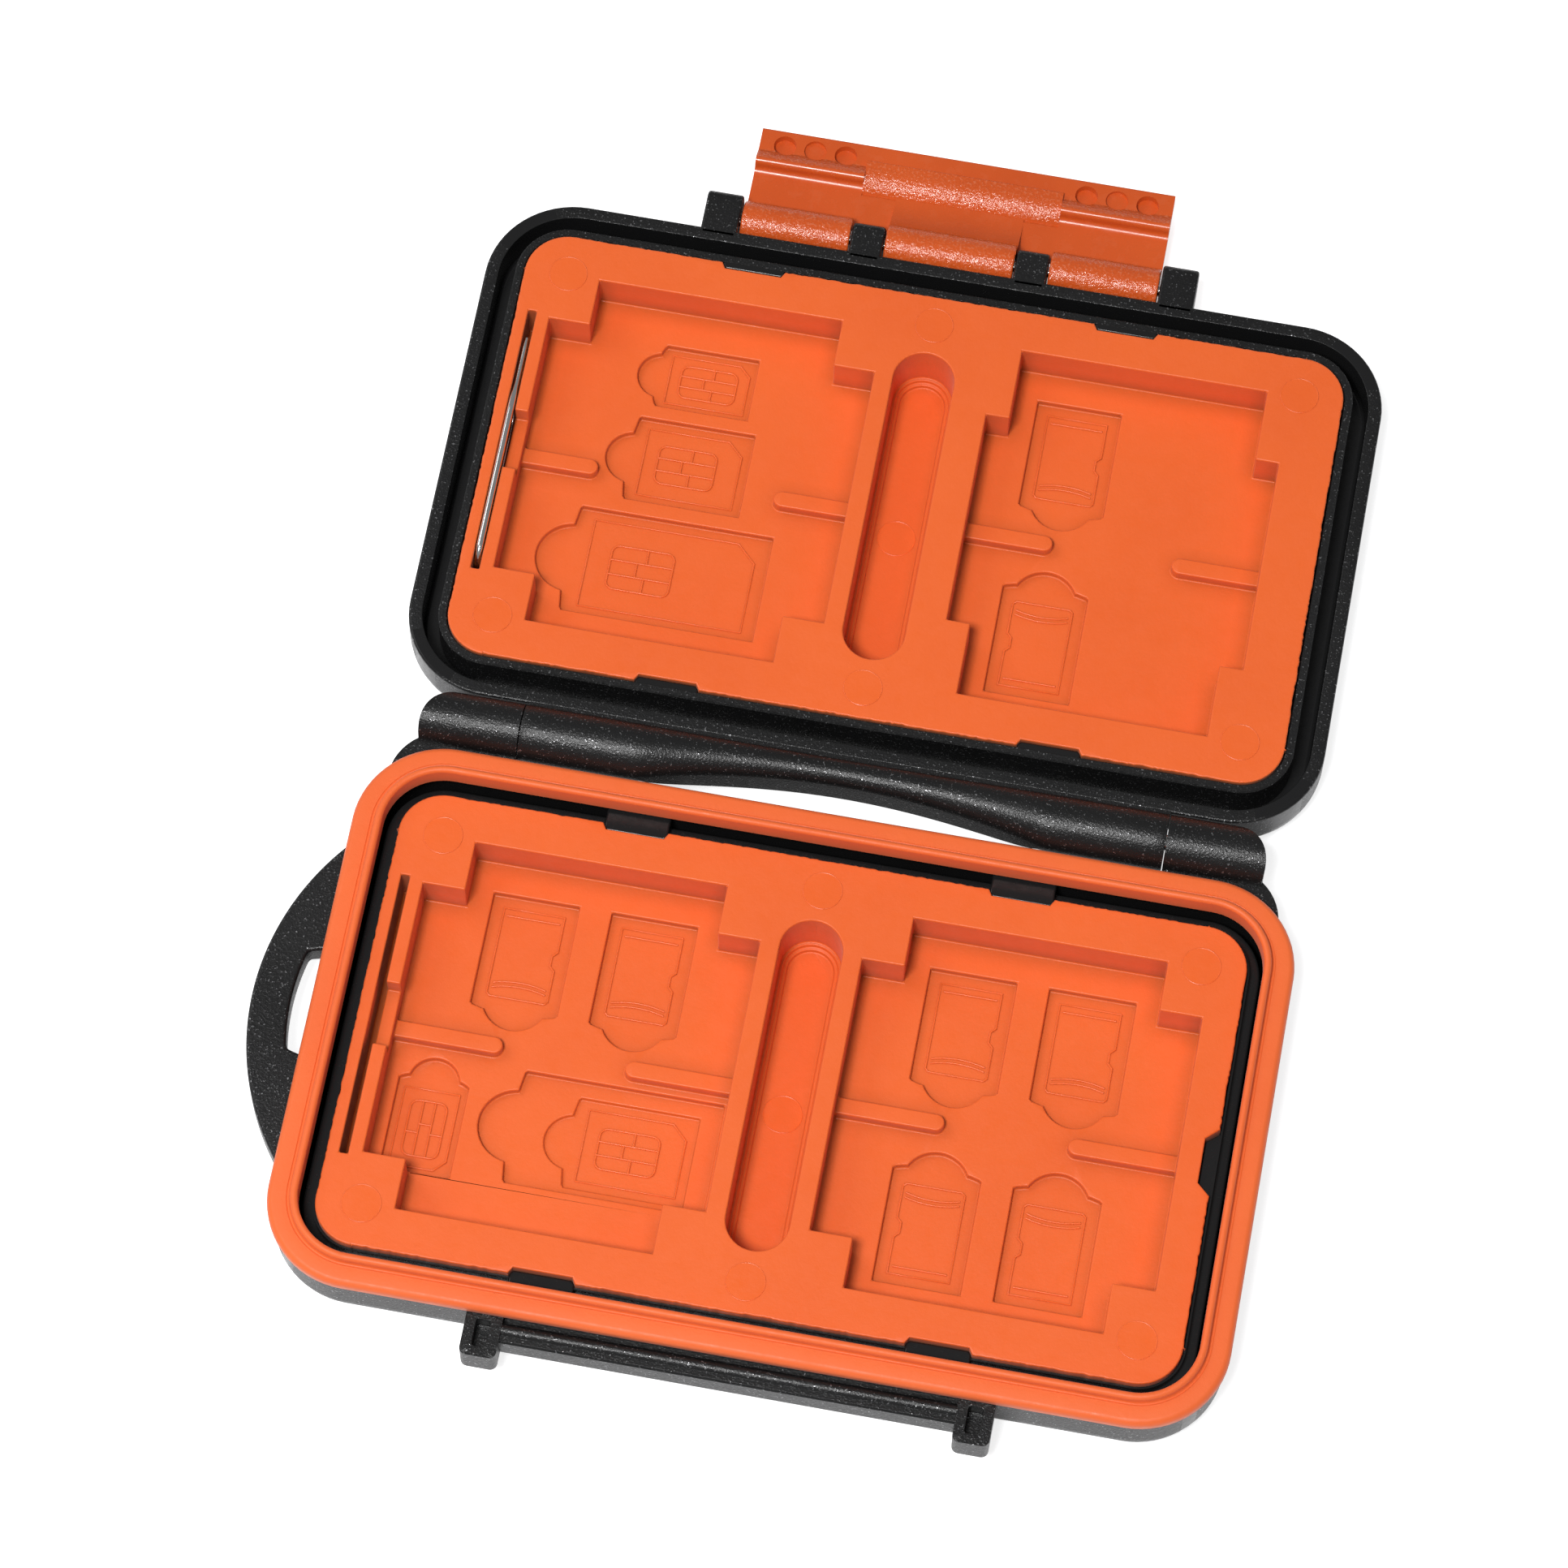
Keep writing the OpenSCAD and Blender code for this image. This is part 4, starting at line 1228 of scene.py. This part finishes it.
nest_marks("Body", body_nests, TRAY_TOP, "body", skipped=("MiniSim",))
nest_marks("Lid", lid_nests, LID_TRAY_TOP, "lid")

# %% [markdown]
# ## The lid shell
#
# The lid is swept from its own outline, which is a little smaller and rounder than the
# body's. A low wall stands round its tray, with a groove outside it for the seal's bead.

# %% Lid wall and the low wall round its tray
LID_HALF_L = TRAY_HALF_L + SHELL_OUT - LID_INSET
LID_HALF_W = TRAY_HALF_W + SHELL_OUT - LID_INSET
LID_OUT = SHELL_OUT - LID_INSET
LID_RIM_IN = 3.35
BORDER_IN = 0.1
BORDER_OUT = 1.2
BORDER_TOP = 10.6
GROOVE_FLOOR = 4.55
GROOVE_ROUND = 0.5
UNDER_BORDER = 0.65


def lid_section():
    """Distances from the lid's own outline: 0 is the outer wall."""
    groove = LID_RIM_IN - LID_OUT
    under = UNDER_BORDER - LID_OUT
    points = [(FLOOR_IN - LID_OUT, 0)]
    points += arc(-BASE_ROUND, BASE_ROUND, BASE_ROUND, -90, 0, 10)
    points += arc(-EDGE, LID_RIM_Z - EDGE, EDGE, 0, 90, 3)
    points += arc(groove + INNER_EDGE, LID_RIM_Z - INNER_EDGE, INNER_EDGE, 90, 180, 2)
    points += arc(groove - GROOVE_ROUND, GROOVE_FLOOR + GROOVE_ROUND, GROOVE_ROUND, 0, -90, 3)
    points += [(under, GROOVE_FLOOR), (under, FLOOR_T)]
    return points + [(FLOOR_IN - LID_OUT, FLOOR_T)]


def border_section():
    return [
        (BORDER_IN, FLOOR_T - 0.2), (BORDER_OUT, FLOOR_T - 0.2),
        (BORDER_OUT, BORDER_TOP - 0.2), (BORDER_OUT - 0.2, BORDER_TOP),
        (BORDER_IN + 0.1, BORDER_TOP), (BORDER_IN, BORDER_TOP - 0.1),
    ]


def in_lid(piece):
    piece.data.transform(Matrix.Translation((0, LID_Y * MM, 0)))
    return piece


lid_wall = in_lid(swept("lid_wall", lid_section(), LID_HALF_L, LID_HALF_W, LID_CORNER,
                        SHELL_BLACK, closed=False))
border = in_lid(swept("border", border_section(), *TRAY_OUTLINE, SHELL_BLACK))
print("lid wall", len(lid_wall.data.polygons), "faces, border", len(border.data.polygons))

# %% Long hinge barrel, slimmer where a wide curve hollows it
LID_BARREL_HALF = 41.3
SCALLOP_R = 98.0
SCALLOP_LEFT = 0.1
BARREL_STATIONS = 60
LONG_BARREL_EASE = 0.2


def barrel_section(x):
    """The barrel's section at x: the hollow cuts its front and thins its upper half."""
    lid_front = LID_Y - LID_HALF_W
    flat = LID_RIM_Z - 0.03
    hollow = SCALLOP_R - math.sqrt(SCALLOP_R ** 2 - x ** 2) + SCALLOP_LEFT
    pushed = max(0.0, HINGE_R - hollow)
    r = HINGE_R - pushed / 2
    meet = math.degrees(math.asin((flat - HINGE_Z) / r))
    cut = math.degrees(math.acos((pushed - HINGE_R) / HINGE_R))
    section = [(lid_front + OVERLAP, WEB_Z)]
    section += arc(HINGE_Y, HINGE_Z, HINGE_R, -90, -cut, 14)
    section += arc(HINGE_Y + pushed / 2, HINGE_Z, r, -180, meet - 360, 42)
    return section + [(lid_front + OVERLAP, flat)]


def lid_barrel():
    steps = range(-BARREL_STATIONS // 2, BARREL_STATIONS // 2 + 1)
    rings = [[(x, y, z) for y, z in barrel_section(x)]
             for x in (LID_BARREL_HALF * 2 * i / BARREL_STATIONS for i in steps)]
    return eased(loft("lid_barrel", rings), LONG_BARREL_EASE, 2, 60)


# %% Ears that hold the latch's pin
KNUCKLE_R = 2.85
LATCH_Y = LID_Y + LID_HALF_W + 0.2 + KNUCKLE_R
LATCH_Z = 7.0
INNER_EAR_X = 8.8
INNER_EAR_W = 4.3
INNER_EAR_TIP = 1.65
EAR_SPREAD = 0.45
EAR_ROUND = 1.2
EAR_EASE = 0.35


def ear(x0, x1, tip):
    centre = LATCH_Y + tip - KNUCKLE_R
    back = LID_Y + LID_HALF_W - OVERLAP
    r = EAR_ROUND
    high = LATCH_Z + KNUCKLE_R
    section = [(back, high), (back, LATCH_Z - KNUCKLE_R)]
    section += arc(centre, LATCH_Z, KNUCKLE_R, -90, 0, 10)
    section += arc(centre + KNUCKLE_R - r, high - r, r, 0, 90, 6)
    return eased(bar("ear", section, x0, x1), EAR_EASE)


ears = [
    ear(EAR_X - EAR_SPREAD, EAR_X + EAR_W + EAR_SPREAD, KNUCKLE_R),
    ear(INNER_EAR_X, INNER_EAR_X + INNER_EAR_W, INNER_EAR_TIP),
]
ears += [mirrored(part) for part in ears]
lid_tabs = tray_tabs("lid_tab", BORDER_OUT - 0.5, BORDER_TOP - 0.06, LID_Y)
for part in lid_tabs:
    coated(part, 1)
coated(lid_wall, 1, within(LID_Y, LID_RIM_IN))
lid_shell = joined("LidShell", [lid_wall, border, lid_barrel(), *ears, *lid_tabs])
finished(lid_shell, "lid", "lid_shell", "shell_black", SHELL_BLACK, CHANNEL_BLACK)

# %% [markdown]
# ## The latch
#
# The latch is one lever of hard plastic. Three knuckles turn on its pin, a shallow channel
# runs between them and the hook, and a sloping wedge spreads the load in the middle. The
# tip is flat, with three round dimples at each end.

# %% Latch sizes, measured from the pin's axis
LATCH_HALF = 27.8
PLATE_L = 15.0
PLATE_IN = -0.9
PLATE_OUT = -2.9
PLATE_ROUND = 0.6
TIP_ROUND = 0.3
CHANNEL = -1.4
WINDOW_U = 2.0
EAR_WINDOW_U = KNUCKLE_R
EAR_GAP = 0.3
HOOK_U = 9.05
HOOK_T = 1.55
HOOK_TOP = 0.3
HOOK_R = 0.75
FOOT_R = 1.1
WEDGE_HALF = 13.2
WEDGE_START = 8.0
WEDGE_U = 12.3
WEDGE_TOP = -0.15
WEDGE_R = 4.2
WEDGE_ROUND = 0.2
HOLLOW_U = 7.4
KNUCKLE_SPANS = ((-8.6, 8.6), (13.3, LATCH_HALF), (-LATCH_HALF, -13.3))
KNUCKLE_EASE = 0.25
PLATE_EASE = 0.12
DIMPLES = ((3.0, 1.15), (7.1, 0.55), (11.2, 1.15))
DIMPLE_U = PLATE_L - 2.3
DIMPLE_R = 1.5
NECK_CURVES = ((8.2, 60), (2.4, 50), (2.4, 50))

# %% Latch sections
def plate_edge():
    """The plate's underside and the round edge of its tip."""
    r = PLATE_ROUND
    points = [(WINDOW_U, PLATE_OUT)] + arc(PLATE_L - r, PLATE_OUT + r, r, -90, 0, 4)
    r = TIP_ROUND
    return points + arc(PLATE_L - r, PLATE_IN - r, r, 0, 90, 3)


def channel_back(u):
    """From the foot of the hook back to the knuckles, a shallow hollow."""
    points = arc(u - 1.0, CHANNEL + FOOT_R, FOOT_R, -30, -90, 5)
    return points + [(3.6, CHANNEL), (3.1, CHANNEL + 0.1), (WINDOW_U, CHANNEL + 0.1)]


def end_section():
    points = plate_edge()
    points += [(HOOK_U + HOOK_T + 1.2, PLATE_IN), (HOOK_U + HOOK_T + 0.9, PLATE_IN + 0.12)]
    points += [(HOOK_U + HOOK_T, HOOK_TOP - 0.35), (HOOK_U + HOOK_T - 0.12, HOOK_TOP - 0.3)]
    points += arc(HOOK_U + HOOK_R, HOOK_TOP - HOOK_R, HOOK_R, 75, 180, 9)
    return points + channel_back(HOOK_U)


def middle_section():
    """The wedge, whose near side falls in a wide curve."""
    points = plate_edge()
    points += [(WEDGE_U + 0.05, PLATE_IN), (WEDGE_U, PLATE_IN + 0.1)]
    r = WEDGE_ROUND
    points += arc(WEDGE_U - r, WEDGE_TOP - r, r, 0, 80, 3)
    points += arc(WEDGE_U - 1.2, WEDGE_TOP - WEDGE_R, WEDGE_R, 90, 140, 10)
    return points + [(HOLLOW_U, CHANNEL), (WINDOW_U, CHANNEL)]


def on_latch(points):
    return [(LATCH_Y + u, LATCH_Z + w) for u, w in points]


def knuckle(x0, x1):
    circle = arc(0, 0, KNUCKLE_R, 0, 360, 40)[:-1]
    return coated(eased(bar("knuckle", on_latch(circle), x0, x1), KNUCKLE_EASE), 1)


def neck(x0, x1, r, span):
    """Joins a knuckle to the plate by a concave curve."""
    low = PLATE_OUT + 0.02
    u = r * math.sin(math.radians(span)) + 0.9
    section = [(0.4, low), (u, low)] + arc(u, CHANNEL + r, r, -90, -90 - span, 14)
    section += [(0.4, section[-1][1])]
    return bar("neck", on_latch(section), x0, x1)


def dimples(part):
    top = LATCH_Z + PLATE_IN
    for side in (-1, 1):
        for along, depth in DIMPLES:
            x = side * (WEDGE_HALF + along)
            round_cut = arc(x, LATCH_Y + DIMPLE_U, DIMPLE_R, 0, 360, 24)[:-1]
            cutter = prism("dimple", round_cut, top - depth, top + OVERLAP)
            part = carve(part, cutter, "DIFFERENCE")
    return part


# %% The latch, put together
plate = bar("latch_middle", on_latch(middle_section()), -WEDGE_HALF, WEDGE_HALF)
for x0, x1 in ((-LATCH_HALF, -WEDGE_HALF), (WEDGE_HALF, LATCH_HALF)):
    plate = carve(plate, bar("latch_end", on_latch(end_section()), x0, x1), "UNION")
for side in (-1, 1):
    window_x = side * (INNER_EAR_X + INNER_EAR_W / 2)
    window = box_plan(window_x, LATCH_Y, INNER_EAR_W + 2 * EAR_GAP, 2 * EAR_WINDOW_U)
    plate = carve(plate, prism("window", window, 0, CUT_TOP), "DIFFERENCE")
plate = eased(dimples(plate), PLATE_EASE, 2, 45)


def pebbled(centre, normal):
    u = centre.y - LATCH_Y
    w = centre.z - LATCH_Z
    in_middle = abs(centre.x) < WEDGE_HALF
    on_wedge = in_middle and WEDGE_START < u < WEDGE_U + 0.1
    on_hook = not in_middle and HOOK_U + HOOK_R < u < HOOK_U + HOOK_T + 1.3
    return w > CHANNEL and normal.z > 0.2 and (on_wedge or on_hook)


coated(plate, 1, pebbled)
knuckles = [knuckle(*span) for span in KNUCKLE_SPANS]
necks = [neck(*span, *curve) for span, curve in zip(KNUCKLE_SPANS, NECK_CURVES)]
latch = joined("Latch", [plate, *knuckles, *necks])
finished(latch, "latch", "latch", "latch_orange", LATCH_SMOOTH, LATCH_PEBBLED)

# %% [markdown]
# ## The wire pins
#
# The bright pin in the lid is one wire, bent into a long loop with its thin tip running on
# past it. A curve with a round section makes it, thinner at the tip. The three straight
# pins in the hinge and the latch are the frame's own, with a wire finish.

# %% Looped pin
WIRE_R = 0.45
TIP_R = 0.35
LOOP_R = 2.7
LOOP_START = -14.9
LOOP_END = 4.0
TIP_Z = 10.3
TIP = [(15.0, TIP_Z, 0.25), (13.5, TIP_Z, TIP_R), (8.4, TIP_Z, TIP_R)]
BEND = [(7.4, TIP_Z + 0.25, TIP_R), (5.8, LID_TRAY_TOP - 0.12, WIRE_R)]


def looped_pin():
    """The wire's path is (y, z, radius) from its tip, with y from the lid's middle."""
    middle_z = LID_TRAY_TOP - LOOP_R
    path = TIP + BEND + [(LOOP_END, LID_TRAY_TOP, WIRE_R)]
    path += [(y, z, WIRE_R) for y, z in arc(LOOP_START, middle_z, LOOP_R, 90, 270, 14)]
    path += [(y, z, WIRE_R) for y, z in arc(LOOP_END, middle_z, LOOP_R, -90, 35, 10)]
    wire = poly_curve("wire", [([(-SLOT_X, LID_Y + y, z) for y, z, _ in path], False)])
    wire.data.bevel_depth = MM
    wire.data.bevel_resolution = 4
    wire.data.use_fill_caps = True
    for point, (_, _, r) in zip(wire.data.splines[0].points, path):
        point.radius = r
    pin = settled(wire)
    pin.name = "LoopedPin"
    return pin


finished(looped_pin(), "sim_pin", "sim_pin", "steel", WIRE, angle=50)
for node in ("hinge_pin_left", "hinge_pin_right", "latch_pin"):
    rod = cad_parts[node]
    for slot in rod.material_slots:
        slot.material = WIRE
print("pins dressed")

# %% [markdown]
# ## Floor, light and camera
#
# The photo was taken from high in front with a long lens, under a broad soft light from
# above. The camera's place was solved from the pockets' corners, and the floor is white
# to the camera but keeps the case's shadow.

# %% Floor
FLOOR_SIDE = 6.0
FLOOR_Z = -0.0002
FLOOR_GREY = (0.86, 0.86, 0.87)
FLOOR_GLOW = {"Is Camera Ray": 0.75, "Is Transmission Ray": 0.75, "Is Glossy Ray": 0.3}


def white_floor():
    """Matt grey that glows as well, by a share for each kind of ray that sees it."""
    material = bpy.data.materials.new("white_floor")
    material.use_nodes = True
    tree = material.node_tree
    tree.nodes.clear()
    strength = 0.0
    for ray, share in FLOOR_GLOW.items():
        seen = new_node(tree, "ShaderNodeLightPath", {}, ray)
        glow = new_node(tree, "ShaderNodeMath", {0: seen, 1: share}, operation="MULTIPLY")
        strength = new_node(tree, "ShaderNodeMath", {0: strength, 1: glow}, operation="MAXIMUM")
    both = new_node(tree, "ShaderNodeAddShader", {
        0: new_node(tree, "ShaderNodeBsdfDiffuse", {"Color": FLOOR_GREY}),
        1: new_node(tree, "ShaderNodeEmission", {"Color": WHITE, "Strength": strength})})
    tree.links.new(both, tree.nodes.new("ShaderNodeOutputMaterial").inputs["Surface"])
    return material


floor_mesh = bpy.data.meshes.new("Floor")
corners = box_plan(0, 0, FLOOR_SIDE, FLOOR_SIDE)
floor_mesh.from_pydata([(x, y, FLOOR_Z) for x, y in corners], [], [(0, 1, 2, 3)])
floor_mesh.materials.append(white_floor())
floor = placed("Floor", floor_mesh)
print("floor", FLOOR_SIDE, "m wide")

# %% Light
CASE_MIDDLE = Vector((0, LID_Y / 2 * MM, 0.01))
AIR_STRENGTH = 0.22
LAMPS = {
    "KeySoftbox": ((-0.14, -0.36, 1.0), (0.26, 0.2), 10.2),
    "SideSoftbox": ((-0.8, 0.3, 0.85), (0.6, 0.5), 2.4),
}


def softbox(name, place, size, watts):
    """A soft lamp of that place, size in metres and power, turned to the case."""
    lamp = bpy.data.lights.new(name, "AREA")
    lamp.shape = "RECTANGLE"
    lamp.size, lamp.size_y = size
    lamp.energy = watts
    holder = placed(name, lamp)
    holder.location = place
    facing = CASE_MIDDLE - holder.location
    holder.rotation_euler = facing.to_track_quat("-Z", "Y").to_euler()


for name, settings in LAMPS.items():
    softbox(name, *settings)
world = bpy.data.worlds.new("StudioAir")
world.use_nodes = True
air = world.node_tree.nodes["Background"]
air.inputs["Color"].default_value = (*WHITE, 1)
air.inputs["Strength"].default_value = AIR_STRENGTH
bpy.context.scene.world = world
bpy.context.scene.view_settings.view_transform = "Standard"
print("lamps:", [lamp.name for lamp in bpy.data.lights])

# %% Camera
CAMERA_MM = (48.51, -286.28, 778.69)
CAMERA_TURN = (23.3148, -0.3141, 10.4644)
PHOTO_SIZE = 1932
FOCAL_PX = 8138.96
SENSOR = 36.0


def photo_camera():
    data = bpy.data.cameras.new("PhotoCamera")
    data.sensor_width = SENSOR
    data.lens = SENSOR * FOCAL_PX / PHOTO_SIZE
    data.clip_start, data.clip_end = 0.05, 20
    holder = placed("PhotoCamera", data)
    holder.location = Vector(CAMERA_MM) * MM
    holder.rotation_euler = Euler([math.radians(a) for a in CAMERA_TURN])
    bpy.context.scene.camera = holder
    return holder


camera = photo_camera()
print("camera at", [round(x, 3) for x in camera.location])
